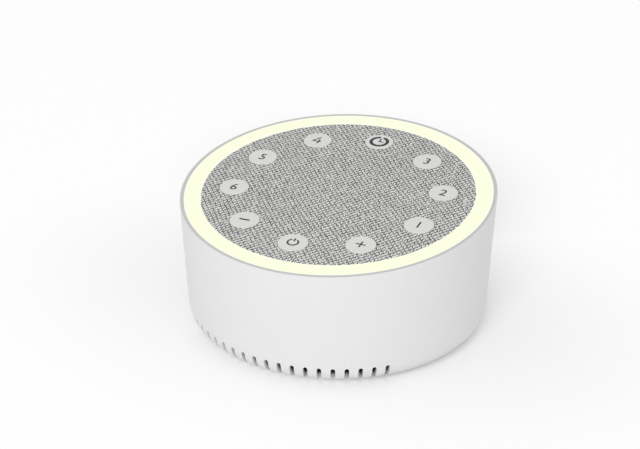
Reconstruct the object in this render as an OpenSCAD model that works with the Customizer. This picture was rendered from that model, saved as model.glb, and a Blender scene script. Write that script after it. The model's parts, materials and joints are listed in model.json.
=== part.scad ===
// Round table-top sound machine: a tapered drum with a slanted top face.
// The origin is on the surface it stands on, under the drum's axis. Front is -Y.
// The top face, the lamps, the buttons and the speaker share one tilted frame, whose
// zero level is the rim plane. Everything at the base is upright.

/* [Drum] */
// Diameter of the rim, taken where the rim plane crosses the axis
rim_d = 120; // [112:1:140]
// Height of the drum on its axis, from its underside to the rim plane
drum_h = 50.9; // [48:0.5:70]
// Slope of the top face, rising from the front to the back, in degrees
top_slope = 4.9; // [0:0.1:7]
// Taper of the side, in degrees from upright
side_draft = 2.8; // [0:0.1:4]
// Wall thickness of the housing
wall_t = 2.2; // [1.8:0.1:2.8]
// Outer radius of the rounded bottom corner
corner_r = 7.2; // [5:0.1:9]
// Width of the flat lip around the opening in the underside
base_lip_w = 0.6; // [0.4:0.1:1.5]

/* [Vents] */
// Number of vent slots across the front
vent_count = 18; // [2:2:22]
// Angle from one slot to the next, in degrees
vent_step = 5.02; // [4:0.01:6]
// Width of a slot
vent_w = 1.7; // [1:0.1:2.4]
// Height of a slot's rounded tip above the underside
vent_h = 7.3; // [5:0.1:12]

/* [Rim and light ring] */
// Width of the rim ring's top face
rim_w = 1.2; // [1:0.1:1.6]
// Width of the housing's lip outside the rim ring
rim_lip_w = 0.2; // [0.2:0.05:0.4]
// Width of the light ring, inside the rim
light_ring_w = 6.5; // [6.4:0.1:7.5]
// Thickness of the rim ring
rim_t = 0.3; // [0.2:0.1:0.8]
// Thickness of the light diffuser
diffuser_t = 2.6; // [1.6:0.1:3]
// Number of lamps
led_count = 24; // [12:1:30]
// Length of a lamp, along the ring
led_l = 3.5; // [2:0.1:4]
// Width of a lamp, across the ring
led_w = 2.8; // [1.6:0.1:3]
// Height of a lamp
led_h = 0.8; // [0.6:0.1:1.2]

/* [Top plate and fabric] */
// Thickness of the fabric
fabric_t = 0.7; // [0.5:0.1:1]
// Depth of the fabric below the rim plane
fabric_drop = 0.1; // [0:0.1:0.4]
// Thickness of the top plate
plate_t = 2.4; // [2:0.1:3]
// Diameter of a grille hole
grille_hole_d = 2.8; // [1.5:0.1:3.4]
// Distance between neighbouring grille holes
grille_pitch = 4.6; // [4.2:0.1:4.8]
// Rings of grille holes around the middle one
grille_rings = 4; // [1:1:4]

/* [Buttons] */
// Number of buttons on the ring (each has its own name, so the number is fixed)
button_count = 10; // [10:10]
// Diameter of a button cap
button_d = 11.3; // [9:0.1:12]
// Distance from the fabric's edge to the middle of a button
button_inset = 12.15; // [11:0.05:12.5]
// Height of a resting cap above the rim plane
button_proud = 0.1; // [0:0.1:1]
// Travel of a button
button_travel = 0.4; // [0.2:0.05:0.5]
// Gap around a cap
button_gap = 0.3; // [0.2:0.05:0.5]
// Rounding of a cap's top edge
button_edge_r = 0.3; // [0.1:0.05:0.5]
// Thickness of a cap's top wall
cap_wall = 1.3; // [0.8:0.1:1.6]
// Width of the flange that keeps a cap under the plate
flange_w = 1; // [0.6:0.1:1.3]
// Thickness of the flange
flange_t = 0.9; // [0.6:0.1:1.1]

/* [Switches and control board] */
// Depth of the control board's top below the rim plane
board_depth = 9; // [8.6:0.1:10]
// Thickness of the circuit boards
board_t = 1.2; // [0.8:0.1:1.6]
// Diameter of the control board's opening around the speaker
control_board_bore = 62; // [58:0.5:64]
// Side of a switch body
switch_w = 6; // [4.5:0.1:6.5]
// Height of a switch body
switch_h = 3.5; // [3:0.1:3.6]
// Diameter of a switch plunger
plunger_d = 3.4; // [2.4:0.1:3.6]

/* [Speaker] */
// Diameter of the speaker's mounting flange
speaker_d = 55; // [54:0.5:57]
// Thickness of the gasket between flange and plate
gasket_t = 2; // [2:0.1:2.6]
// Thickness of the basket's sheet steel
basket_t = 1; // [0.8:0.1:1.2]
// Depth from the flange's top to the basket's bottom face
basket_depth = 14; // [13.5:0.1:15]
// Radius of the cone at its rim
cone_r = 18.6; // [18.2:0.1:18.8]
// Radius of the voice coil's former
coil_r = 7; // [6.6:0.1:7.4]
// Travel of the cone to each side
cone_travel = 1; // [0.5:0.1:1]
// Diameter of the magnet
magnet_d = 33; // [30:0.5:36]
// Thickness of the magnet
magnet_t = 6; // [5:0.1:7]
// Thickness of the front plate and of the yoke's disc
magnet_plate_t = 3; // [2:0.1:3.4]

/* [Base] */
// Height of the feet's faces below the drum
foot_h = 0.8; // [0.4:0.1:2]
// Diameter of a foot
foot_d = 11; // [8:0.5:14]
// Distance from the base opening's edge to the middle of a foot
foot_inset = 11; // [9:0.5:16]
// Thickness of the base cover
cover_t = 2.2; // [1.8:0.1:2.8]
// Distance from the base opening's edge to the middle of a base screw
pillar_inset = 5; // [4.6:0.1:5.6]
// Diameter of a base screw's pillar
pillar_d = 6.8; // [5.5:0.1:7.2]
// Height of a pillar
pillar_h = 17.4; // [8:0.1:20]

/* [Main board] */
// Length of the main board
main_board_l = 64; // [60:1:66]
// Width of the main board
main_board_w = 44; // [42:1:46]
// Height of the posts under the main board
main_post_h = 3; // [2.5:0.1:4]

/* [Power inlet] */
// Height of the socket's middle above the underside
socket_z = 12.2; // [12:0.1:14]
// Width of the pocket for the plug
pocket_w = 12.8; // [12:0.1:13.4]
// Height of the pocket for the plug
pocket_h = 6.8; // [6.2:0.1:7.2]
// Depth of the pocket, from the drum's side at that height
pocket_depth = 6.4; // [5.6:0.1:7]
// Width of the socket's shell
shell_w = 8.94; // [8.9:0.01:9]
// Height of the socket's shell
shell_h = 3.26; // [3.2:0.01:3.3]
// Length of the socket's shell
shell_l = 7.3; // [7:0.1:8]

/* [Screws] */
// Diameter of a screw's shank
screw_d = 2; // [1.6:0.1:2.2]
// Diameter of a screw's head
screw_head_d = 3.8; // [3.4:0.1:4.2]
// Height of a screw's head
screw_head_h = 1.3; // [1:0.1:1.4]

/* [Hidden] */
$fn = 96;

// Clearances
fit = 0.1;          // between pieces that are set into each other
inlay_gap = 0.02;   // between the rim ring and the lip around it
screw_fit = 0.05;   // around a screw's shank in its own hole
loose_fit = 0.3;    // around a screw's shank where it only passes through, and at seams
board_gap = 0.5;    // between the control board's edge and the housing's wall
fabric_gap = 0.15;  // between the fabric and the diffuser around it
root = 0.8;         // depth that a boss or collar reaches into the plate that carries it
past = 1;           // extra length of a cutter beyond the face that it opens

// Levels of the drum
rim_r = rim_d / 2;
rim_inset = rim_lip_w + rim_w;
base_z = foot_h;
axis_h = base_z + drum_h;
draft_k = tan(side_draft);
drum_top = axis_h + rim_d * tan(top_slope);
big = 2 * rim_d;
corner_x = side_r(base_z, 0) + corner_r * draft_k - corner_r / cos(side_draft);
base_opening_r = corner_x - base_lip_w;
vent_lip_w = 1.4;   // ring of wall that stays whole between the slots and the base opening

// Levels in the tilted frame, measured down from the rim plane
fabric_top = -fabric_drop;
plate_top = fabric_top - fabric_t;
plate_bottom = plate_top - plate_t;
board_top = -board_depth;
board_bottom = board_top - board_t;
fabric_r = rim_r - rim_inset - light_ring_w - fabric_gap;
plate_r = fabric_r - fabric_t - fit / 2;
button_ring_r = fabric_r - button_inset;

// Largest disc of the tilted frame that stays inside the wall at a depth below the rim plane
function inner_r(depth) =
    (rim_r - wall_t - depth * (sin(top_slope) + draft_k * cos(top_slope)))
    / (cos(top_slope) - draft_k * sin(top_slope));
control_board_r = inner_r(board_depth + board_t) - board_gap;

// Button levels
button_r = button_d / 2;
button_hole_r = button_r + button_gap;
cap_side_t = 1.1;   // thickness of a cap's side wall
flange_top = plate_bottom - fit;
flange_bottom = flange_top - flange_t;
flange_r = button_hole_r + flange_w;
flange_gap = 0.4;   // around a cap's flange, and below it when it is pressed
collar_in_r = flange_r + flange_gap;
collar_wall = 1;
collar_out_r = collar_in_r + collar_wall;
collar_bottom = flange_bottom - button_travel - flange_gap;
key_w = 1.2;
key_end_r = collar_in_r + 0.7 * collar_wall;
switch_top = board_top + switch_h;
press_rest = 0.2;   // what is left below a button that is pressed home
stem_bottom = switch_top + button_travel + press_rest;
plunger_r = plunger_d / 2;
stem_r = plunger_r + 0.3;
plunger_in = 0.8;
plunger_well = plunger_in + button_travel + press_rest;
button_step = 360 / button_count;
front = -90;

// Screws through the tilted parts stand halfway between two buttons
boss_wall = 1.6;
boss_inset = 1.6;   // from the plate's edge to a boss
boss_r = screw_d / 2 + boss_wall;
boss_ring_r = plate_r - boss_r - boss_inset;
ear_drop = 3.8;     // from the control board down to the ears
ear_top = board_bottom - ear_drop;
ear_t = 2;
ear_w = 9;
ear_reach = 4;      // from the screw to the ear's free end
ear_angles = [-36, 36, 144, 216];
board_screw_angles = [-108, -72, 0, 72, 108, 180];
screw_bite = 5;
screw_end_gap = 0.5; // what a blind hole is deeper than its screw
plate_skin = 0.6;   // what a blind screw hole leaves of the top plate

// Light ring
reflector_in_r = fabric_r + fabric_gap;
reflector_wall = 0.9;
reflector_floor_t = 0.6;
led_r = (reflector_in_r + reflector_wall + control_board_r) / 2;
led_gap = 0.15;

// Speaker levels and radii
flange_z = plate_bottom - gasket_t;
speaker_r = speaker_d / 2;
speaker_edge_w = speaker_r - cone_r;    // surround and mounting flange
surround_w = 0.45 * speaker_edge_w;
glue_w = 0.16 * speaker_edge_w;         // the surround's glued edge on the flange
magnet_r = magnet_d / 2;
basket_in_r = cone_r + surround_w;
speaker_hole_r = screw_d / 2 + 0.2;
window_w = 0.65 * cone_r;
speaker_screw_r = speaker_r - 0.22 * speaker_edge_w;
speaker_screw_angles = [45, 135, 225, 315];
shelf_z = flange_z - 8;
shelf_r = cone_r - 0.2;
neck_in_r = magnet_r - fit;
basket_z = flange_z - basket_depth;
gap_r = coil_r + 0.9;
pole_r = coil_r - 0.6;
coil_t = 0.3;
front_plate_z = basket_z - magnet_plate_t;
magnet_z = front_plate_z - magnet_t;
yoke_z = magnet_z - magnet_plate_t;
cone_rim_z = flange_z;
neck_z = flange_z - 5.8;
paper_t = 0.5;
cone_edge_w = 1;    // width of the cone's flat edge, which the surround is glued to
roll_r = surround_w / 2 - 0.15;
roll_t = 0.4;
gasket_in_r = basket_in_r + glue_w + 0.2;

// Corrugated disc that centres the voice coil
spider_in_r = coil_r + coil_t + 0.02;
spider_flat_r = neck_in_r + 0.2;
spider_out_r = shelf_r - 0.1;
spider_t = 0.35;
spider_waves = 3;
spider_wave_h = 0.7;
spider_steps = 36;
spider_points = [for (i = [0 : spider_steps])
    let (s = i / spider_steps)
        [spider_in_r + (spider_flat_r - spider_in_r) * s,
            shelf_z + spider_wave_h * (1 - cos(360 * spider_waves * s)) / 2]];

// Base
cover_top = base_z + cover_t;
cover_r = base_opening_r - loose_fit;
pillar_ring_r = base_opening_r - pillar_inset;
foot_ring_r = base_opening_r - foot_inset;
pillar_angles = [45, 135, 225, 315];
well_floor_t = 1.6; // thickness of the cover under a base screw's head
pillar_z = cover_top + well_floor_t;
pillar_web_t = 2;
base_screw_bite = 6;
well_r = screw_head_d / 2 + 0.5;
well_boss_r = well_r + boss_wall;
foot_in = 0.7;
foot_angles = [0, 90, 180, 270];

// Main board and its parts
main_y = -4;
main_z = cover_top + main_post_h;
main_top = main_z + board_t;
main_hole_x = main_board_l / 2 - 4;
main_hole_y = main_board_w / 2 - 4;
main_post_r = screw_d / 2 + boss_wall;
screw_bite_low = main_post_h + 0.4;
header_h = 5;
header_l = 8;
header_w = 4.5;
wire_r = 0.6;
wire_gap = 2.5;
wire_slack = 8;     // how far a wire keeps straight on at each end
lug_reach = 2.4;    // from the basket to the middle of a lug
terminal_drop = 4.2;
terminal_r = neck_in_r + basket_t + lug_reach;
terminal_z = shelf_z - basket_t - terminal_drop;
lug_lift = 0.6;
header_lead = 4;    // the wires lean outwards by this on their way down
speaker_header_x = terminal_r + header_lead;
power_header_y = main_y + main_board_w / 2 - 4;
ribbon_w = 10;
ribbon_t = 0.3;
ribbon_x = -button_ring_r;
ribbon_base_x = 6 - main_board_l / 2;
ribbon_plug_h = 2.5;
ribbon_plug = [4, ribbon_w + 2, ribbon_plug_h];

// Power inlet
usb_mid_z = base_z + socket_z;
usb_board_top = usb_mid_z - shell_h / 2;
usb_shelf_top = usb_board_top - board_t;
usb_shelf_t = 2;
pocket_wall = 1.6;
pocket_corner_r = 1.6;
side_y = rim_r + draft_k * (usb_mid_z - axis_h);
pocket_y = side_y - pocket_depth;
usb_board_w = 17;
usb_board_l = 14;
usb_shelf_edge = 1;
usb_shelf_y = pocket_y - usb_board_l - usb_shelf_edge;
usb_screw_x = usb_board_w / 2 - 2.4;
usb_screw_y = pocket_y - usb_board_l + 2.6;
shell_t = 0.3;

// ---------- frames and helpers ----------

// The tilted frame of the top face
module top_frame() {
    translate([0, 0, axis_h])
        rotate([top_slope, 0, 0])
            children();
}

// Turn to an angle around the axis and step out along it
module polar(angle, radius) {
    rotate([0, 0, angle])
        translate([radius, 0, 0])
            children();
}

// Put a copy on the circle at each angle of a list
module around(angles, radius) {
    for (a = angles)
        polar(a, radius)
            children();
}

// Radius of the drum's side at a height, less an inset
function side_r(z, inset) = rim_r + draft_k * (z - axis_h) - inset;

// Half profile of the drum, drawn inset from its outer surface
module drum_profile(inset) {
    r = corner_r - inset;
    z0 = base_z + inset;
    x0 = side_r(z0, inset);
    xc = x0 + r * draft_k - r / cos(side_draft);
    zc = z0 + r;
    union() {
        polygon([[0, z0], [xc, z0], [xc, zc],
            [xc + r * cos(side_draft), zc - r * sin(side_draft)],
            [side_r(drum_top, inset), drum_top], [0, drum_top]]);
        translate([xc, zc])
            circle(r);
    }
}

module drum_solid(inset) {
    rotate_extrude()
        drum_profile(inset);
}

// The drum's side alone, carried up past the rim plane
module side_cone(inset) {
    z0 = axis_h - 2 * rim_r * tan(top_slope) - 10;
    translate([0, 0, z0])
        cylinder(h = drum_top - z0, r1 = side_r(z0, inset), r2 = side_r(drum_top, inset));
}

// Slab of the tilted frame between two levels
module top_slab(low, high) {
    top_frame()
        translate([-big / 2, -big / 2, low])
            cube([big, big, high - low]);
}

module tube(h, r_out, r_in) {
    difference() {
        cylinder(h = h, r = r_out);
        translate([0, 0, -past])
            cylinder(h = h + 2 * past, r = r_in);
    }
}

// Block centred in X and Y that stands on z = 0
module block(size) {
    translate([-size[0] / 2, -size[1] / 2, 0])
        cube(size);
}

// Pan-head screw: the head hangs below z = 0 and the shank rises from it
module screw(length) {
    translate([0, 0, -screw_head_h])
        difference() {
            cylinder(h = screw_head_h, r = screw_head_d / 2);
            for (a = [0, 90])
                rotate([0, 0, a])
                    translate([-screw_head_d * 0.3, -0.2, -1])
                        cube([screw_head_d * 0.6, 0.4, 1 + screw_head_h / 2]);
        }
    cylinder(h = length, r = screw_d / 2);
}

// Point of a smooth curve through four guide points, at s from 0 to 1
function curve(p, s) =
    p[0] * pow(1 - s, 3) + p[1] * 3 * s * pow(1 - s, 2) + p[2] * 3 * s * s * (1 - s) + p[3] * pow(s, 3);
function curve_way(p, s) =
    (p[1] - p[0]) * pow(1 - s, 2) + (p[2] - p[1]) * 2 * s * (1 - s) + (p[3] - p[2]) * s * s;
function unit(v) = v / norm(v);

// Eight-sided wire along such a curve
module wire(guide, radius) {
    rings = 16;
    sides = 8;
    points = [for (i = [0 : rings])
        let (s = i / rings, way = unit(curve_way(guide, s)), u = unit(cross(way, [1, 0, 0])))
        let (v = cross(way, u))
            for (k = [0 : sides - 1])
                curve(guide, s) + radius * (cos(360 * k / sides) * u + sin(360 * k / sides) * v)];
    walls = [for (i = [0 : rings - 1], k = [0 : sides - 1])
        let (a = i * sides + k, b = i * sides + (k + 1) % sides)
            [a, a + sides, b + sides, b]];
    first = [for (k = [0 : sides - 1]) k];
    last = [for (k = [sides - 1 : -1 : 0]) rings * sides + k];
    polyhedron(points, concat([first], walls, [last]));
}

// ---------- outer shell ----------

module vent_slots() {
    tip_z = base_z + vent_h - vent_w / 2;
    slot_in = base_opening_r + vent_lip_w;
    for (i = [0 : vent_count - 1])
        polar(front + vent_step * (i - (vent_count - 1) / 2), slot_in)
            rotate([90, 0, 90])
                linear_extrude(rim_r)
                    union() {
                        translate([-vent_w / 2, -past])
                            square([vent_w, tip_z + past]);
                        translate([0, tip_z])
                            circle(vent_w / 2, $fn = 12);
                    }
}

// Ears that the top plate is screwed down to
module housing_ears() {
    intersection() {
        drum_solid(wall_t / 2);
        top_frame()
            around(ear_angles, 0)
                translate([boss_ring_r - ear_reach, -ear_w / 2, ear_top - ear_t])
                    cube([rim_r, ear_w, ear_t]);
    }
}

// Pillars for the base screws, each with a web to the wall
module housing_pillars() {
    intersection() {
        drum_solid(wall_t / 2);
        around(pillar_angles, pillar_ring_r)
            translate([0, 0, pillar_z])
                union() {
                    cylinder(h = pillar_h, r = pillar_d / 2);
                    translate([0, -pillar_web_t / 2, 0])
                        cube([rim_r, pillar_web_t, pillar_h]);
                }
    }
}

// Block around the plug's pocket, with the shelf for the inlet's board behind it
module pocket_block() {
    w = pocket_w + 2 * pocket_wall;
    intersection() {
        drum_solid(wall_t / 2);
        union() {
            translate([-w / 2, pocket_y, usb_mid_z - pocket_h / 2 - pocket_wall])
                cube([w, rim_r, pocket_h + 2 * pocket_wall]);
            translate([-usb_board_w / 2 - usb_shelf_edge, usb_shelf_y, usb_shelf_top - usb_shelf_t])
                cube([usb_board_w + 2 * usb_shelf_edge, rim_r, usb_shelf_t]);
        }
    }
}

module pocket_cut() {
    back_y = pocket_y + pocket_wall;
    translate([0, rim_d, usb_mid_z])
        rotate([90, 0, 0])
            linear_extrude(rim_d - back_y)
                rounded_slot(pocket_w, pocket_h, pocket_corner_r);
    translate([0, back_y + past, usb_mid_z])
        rotate([90, 0, 0])
            linear_extrude(pocket_wall + 2 * past)
                rounded_slot(shell_w + 2 * fit, shell_h + 2 * fit, shell_h / 2);
}

// Rectangle with round corners, made of squares and circles
module rounded_slot(w, h, r) {
    c = min(r, h / 2 - 0.01);
    union() {
        square([w - 2 * c, h], center = true);
        square([w, h - 2 * c], center = true);
        for (x = [-1, 1], y = [-1, 1])
            translate([x * (w / 2 - c), y * (h / 2 - c)])
                circle(c, $fn = 32);
    }
}

module housing() {
    color([0.91, 0.91, 0.91])
        difference() {
            union() {
                difference() {
                    drum_solid(0);
                    drum_solid(wall_t);
                }
                housing_ears();
                housing_pillars();
                pocket_block();
            }
            top_slab(0, big);
            intersection() {
                side_cone(rim_lip_w);
                top_slab(-rim_t, big);
            }
            intersection() {
                side_cone(rim_inset);
                top_slab(-diffuser_t, big);
            }
            translate([0, 0, -past])
                cylinder(h = base_z + wall_t + past, r = base_opening_r);
            vent_slots();
            pocket_cut();
            around(pillar_angles, pillar_ring_r)
                translate([0, 0, pillar_z - past])
                    cylinder(h = base_screw_bite + 2 * past, r = screw_d / 2 + screw_fit);
            top_frame()
                around(ear_angles, boss_ring_r)
                    translate([0, 0, ear_top - ear_t - past])
                        cylinder(h = ear_t + 2 * past, r = screw_d / 2 + loose_fit);
            for (x = [-1, 1])
                translate([x * usb_screw_x, usb_screw_y, usb_shelf_top - usb_shelf_t - past])
                    cylinder(h = usb_shelf_t + 2 * past, r = screw_d / 2 + screw_fit);
        }
}

module rim_ring() {
    color([0.72, 0.72, 0.71])
        intersection() {
            difference() {
                side_cone(rim_lip_w + inlay_gap);
                side_cone(rim_inset);
            }
            top_slab(-rim_t, 0);
        }
}

module light_diffuser() {
    color([0.98, 1, 0.88])
        difference() {
            intersection() {
                side_cone(rim_inset + fit);
                top_slab(-diffuser_t, 0);
            }
            top_frame()
                translate([0, 0, -diffuser_t - past])
                    cylinder(h = diffuser_t + 2 * past, r = reflector_in_r);
        }
}

// ---------- light ring ----------

module led_places() {
    for (i = [0 : led_count - 1])
        polar(360 / led_count * i, led_r)
            children();
}

module light_reflector() {
    color([0.96, 0.96, 0.96])
        top_frame()
            difference() {
                translate([0, 0, board_top])
                    union() {
                        tube(board_depth - diffuser_t, reflector_in_r + reflector_wall, reflector_in_r);
                        tube(reflector_floor_t, control_board_r, reflector_in_r);
                    }
                led_places()
                    translate([0, 0, board_top - past])
                        block([led_w + 2 * led_gap, led_l + 4 * led_gap, reflector_floor_t + 2 * past]);
            }
}

module leds() {
    color([0.95, 0.9, 0.6])
        top_frame()
            led_places()
                translate([0, 0, board_top])
                    block([led_w, led_l, led_h]);
}

// ---------- top plate and fabric ----------

module button_places() {
    for (i = [0 : button_count - 1])
        polar(front + button_step * i, button_ring_r)
            children();
}

module grille_holes() {
    for (i = [-grille_rings : grille_rings], j = [-grille_rings : grille_rings])
        if (abs(i + j) <= grille_rings)
            translate([grille_pitch * (i + j / 2), grille_pitch * j * sqrt(3) / 2, plate_bottom - past])
                cylinder(h = plate_t + 2 * past, r = grille_hole_d / 2, $fn = 24);
}

module fabric_cover() {
    color([0.62, 0.62, 0.62])
        top_frame()
            difference() {
                translate([0, 0, plate_bottom])
                    cylinder(h = fabric_top - plate_bottom, r = fabric_r);
                translate([0, 0, plate_bottom - past])
                    cylinder(h = plate_t + past, r = plate_r + fit / 2);
                button_places()
                    translate([0, 0, plate_bottom - past])
                        cylinder(h = board_depth, r = button_hole_r);
            }
}

module button_collar() {
    collar_h = plate_bottom - collar_bottom + root;
    slot_w = key_w + 2 * button_gap;
    translate([0, 0, collar_bottom])
        difference() {
            tube(collar_h, collar_out_r, collar_in_r);
            translate([0, -slot_w / 2, -past])
                cube([collar_out_r + past, slot_w, collar_h + 2 * past]);
        }
}

module top_plate() {
    color([0.3, 0.3, 0.31])
        top_frame()
            difference() {
                union() {
                    translate([0, 0, plate_bottom])
                        cylinder(h = plate_t, r = plate_r);
                    button_places()
                        button_collar();
                    around(ear_angles, boss_ring_r)
                        translate([0, 0, ear_top])
                            cylinder(h = plate_bottom - ear_top + root, r = boss_r);
                    around(board_screw_angles, boss_ring_r)
                        translate([0, 0, board_top])
                            cylinder(h = plate_bottom - board_top + root, r = boss_r);
                }
                button_places()
                    translate([0, 0, plate_bottom - past])
                        cylinder(h = plate_t + 2 * past, r = button_hole_r);
                grille_holes();
                around(ear_angles, boss_ring_r)
                    translate([0, 0, ear_top - past])
                        cylinder(h = screw_bite + 2 * past, r = screw_d / 2 + screw_fit);
                around(board_screw_angles, boss_ring_r)
                    translate([0, 0, board_top - past])
                        cylinder(h = screw_bite + past, r = screw_d / 2 + screw_fit);
                around(speaker_screw_angles, speaker_screw_r)
                    translate([0, 0, plate_bottom - past])
                        cylinder(h = plate_t - plate_skin + past, r = screw_d / 2 + screw_fit);
            }
}

// ---------- buttons ----------

module button_cap(index) {
    color([0.85, 0.85, 0.85])
        top_frame()
            polar(front + button_step * index, button_ring_r)
                union() {
                    rotate_extrude()
                        cap_profile();
                    translate([flange_r - flange_w, -key_w / 2, flange_bottom])
                        cube([key_end_r - flange_r + flange_w, key_w, flange_t]);
                }
}

module cap_profile() {
    e = button_edge_r;
    inside_r = button_r - cap_side_t;
    roof = button_proud - cap_wall;
    union() {
        polygon([[0, stem_bottom], [stem_r, stem_bottom], [stem_r, roof], [inside_r, roof],
            [inside_r, flange_bottom], [flange_r, flange_bottom], [flange_r, flange_top],
            [button_r, flange_top], [button_r, button_proud - e], [button_r - e, button_proud - e],
            [button_r - e, button_proud], [0, button_proud]]);
        translate([button_r - e, button_proud - e])
            circle(e, $fn = 32);
    }
}

module switch_plunger(index) {
    color([0.2, 0.2, 0.2])
        top_frame()
            polar(front + button_step * index, button_ring_r)
                translate([0, 0, switch_top - plunger_in])
                    cylinder(h = stem_bottom - switch_top + plunger_in, r = plunger_r);
}

module switch_bodies() {
    color([0.55, 0.55, 0.56])
        top_frame()
            button_places()
                difference() {
                    translate([0, 0, board_top])
                        block([switch_w, switch_w, switch_h]);
                    translate([0, 0, switch_top - plunger_well])
                        cylinder(h = plunger_well + past, r = plunger_r + 0.3);
                }
}

module control_board() {
    color([0.1, 0.35, 0.2])
        top_frame()
            difference() {
                translate([0, 0, board_bottom])
                    tube(board_t, control_board_r, control_board_bore / 2);
                around(ear_angles, boss_ring_r)
                    translate([0, 0, board_bottom - past])
                        cylinder(h = board_t + 2 * past, r = boss_r + loose_fit);
                around(board_screw_angles, boss_ring_r)
                    translate([0, 0, board_bottom - past])
                        cylinder(h = board_t + 2 * past, r = screw_d / 2 + loose_fit);
            }
}

module control_board_screws() {
    color([0.7, 0.7, 0.72])
        top_frame()
            around(board_screw_angles, boss_ring_r)
                translate([0, 0, board_bottom])
                    screw(board_t + screw_bite - screw_end_gap);
}

module plate_screws() {
    color([0.7, 0.7, 0.72])
        top_frame()
            around(ear_angles, boss_ring_r)
                translate([0, 0, ear_top - ear_t])
                    screw(ear_t + screw_bite);
}

// ---------- speaker ----------

module speaker_gasket() {
    color([0.15, 0.15, 0.15])
        top_frame()
            difference() {
                translate([0, 0, flange_z])
                    tube(gasket_t, speaker_r, gasket_in_r);
                around(speaker_screw_angles, speaker_screw_r)
                    translate([0, 0, flange_z - past])
                        cylinder(h = gasket_t + 2 * past, r = speaker_hole_r);
            }
}

module speaker_frame() {
    t = basket_t;
    color([0.35, 0.36, 0.38])
        top_frame()
            difference() {
                rotate_extrude()
                    polygon([[basket_in_r, flange_z], [basket_in_r, flange_z - t],
                        [shelf_r, shelf_z], [neck_in_r, shelf_z], [neck_in_r, basket_z + t],
                        [gap_r + 0.3, basket_z + t], [gap_r + 0.3, basket_z], [neck_in_r + t, basket_z],
                        [neck_in_r + t, shelf_z - t], [shelf_r + t, shelf_z - t],
                        [basket_in_r + t, flange_z - t], [speaker_r, flange_z - t], [speaker_r, flange_z]]);
                for (a = [45, 135])
                    rotate([0, 0, a])
                        translate([-speaker_r, -window_w / 2, shelf_z + 0.8])
                            cube([speaker_d, window_w, flange_z - shelf_z - 2.4]);
                around(speaker_screw_angles, speaker_screw_r)
                    translate([0, 0, flange_z - t - past])
                        cylinder(h = t + 2 * past, r = speaker_hole_r);
            }
}

module speaker_surround() {
    mid_r = (cone_r + basket_in_r) / 2;
    color([0.12, 0.12, 0.12])
        top_frame()
            rotate_extrude()
                union() {
                    difference() {
                        translate([mid_r, flange_z + roll_t / 2])
                            circle(roll_r, $fn = 48);
                        translate([mid_r, flange_z + roll_t / 2])
                            circle(roll_r - roll_t, $fn = 48);
                        translate([mid_r - roll_r, flange_z + roll_t])
                            square([2 * roll_r, roll_r]);
                    }
                    translate([mid_r + roll_r - roll_t, flange_z])
                        square([basket_in_r + glue_w - mid_r - roll_r + roll_t, roll_t]);
                    translate([cone_r - cone_edge_w, flange_z])
                        square([mid_r - roll_r + roll_t - cone_r + cone_edge_w, roll_t]);
                }
}

module speaker_cone() {
    color([0.2, 0.2, 0.21])
        top_frame()
            rotate_extrude()
                polygon([[cone_r, cone_rim_z], [cone_r - cone_edge_w, cone_rim_z], [coil_r + coil_t, neck_z],
                    [coil_r + coil_t, neck_z - paper_t], [cone_r - 0.8 * cone_edge_w, cone_rim_z - paper_t],
                    [cone_r, cone_rim_z - paper_t]]);
}

module dust_cap() {
    rise = 2.2;
    overlap = 1.2;
    foot_r = coil_r + coil_t + overlap;
    foot_z = neck_z + (cone_rim_z - neck_z) * overlap / (cone_r - cone_edge_w - coil_r - coil_t) + 0.05;
    ball_r = (foot_r * foot_r + rise * rise) / (2 * rise);
    color([0.17, 0.17, 0.18])
        top_frame()
            translate([0, 0, foot_z + rise - ball_r])
                rotate_extrude()
                    intersection() {
                        difference() {
                            circle(ball_r);
                            circle(ball_r - paper_t);
                        }
                        translate([0, ball_r - rise])
                            square([foot_r + 1, rise + 1]);
                    }
}

// Former with a winding that stays in the magnet's gap over the travel
module voice_coil() {
    top_z = neck_z + 0.4;
    low_z = front_plate_z - cone_travel / 2;
    winding_z = basket_z + cone_travel / 2;
    color([0.72, 0.45, 0.2])
        top_frame()
            rotate_extrude()
                polygon([[coil_r, top_z], [coil_r, low_z], [coil_r + 2 * coil_t, low_z],
                    [coil_r + 2 * coil_t, winding_z], [coil_r + coil_t, winding_z],
                    [coil_r + coil_t, top_z]]);
}

module spider() {
    color([0.75, 0.6, 0.3])
        top_frame()
            rotate_extrude()
                polygon(concat(
                    spider_points,
                    [[spider_out_r, shelf_z], [spider_out_r, shelf_z + spider_t]],
                    [for (i = [spider_steps : -1 : 0]) spider_points[i] + [0, spider_t]]));
}

module magnet_front_plate() {
    color([0.6, 0.6, 0.62])
        top_frame()
            translate([0, 0, front_plate_z])
                tube(magnet_plate_t, magnet_r - 1, gap_r);
}

module magnet() {
    color([0.2, 0.2, 0.22])
        top_frame()
            translate([0, 0, magnet_z])
                tube(magnet_t, magnet_r, gap_r + 2);
}

module magnet_yoke() {
    color([0.6, 0.6, 0.62])
        top_frame()
            translate([0, 0, yoke_z])
                union() {
                    cylinder(h = magnet_plate_t, r = magnet_r - 1);
                    cylinder(h = basket_z - yoke_z, r = pole_r);
                }
}

module speaker_terminal() {
    color([0.6, 0.5, 0.2])
        top_frame()
            polar(0, neck_in_r + basket_t)
                translate([0, 0, terminal_z])
                    union() {
                        translate([0, -4, 0])
                            cube([1.2, 8, 3.2]);
                        for (side = [-1, 1])
                            translate([1.2, side * wire_gap - wire_r, lug_lift])
                                cube([2, 2 * wire_r, 0.5]);
                    }
}

module speaker_screws() {
    color([0.7, 0.7, 0.72])
        top_frame()
            around(speaker_screw_angles, speaker_screw_r)
                translate([0, 0, flange_z - basket_t])
                    screw(basket_t + gasket_t + plate_t - plate_skin - loose_fit);
}

// ---------- main board ----------

module main_board_corners() {
    for (x = [-1, 1], y = [-1, 1])
        translate([x * main_hole_x, main_y + y * main_hole_y, 0])
            children();
}

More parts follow.
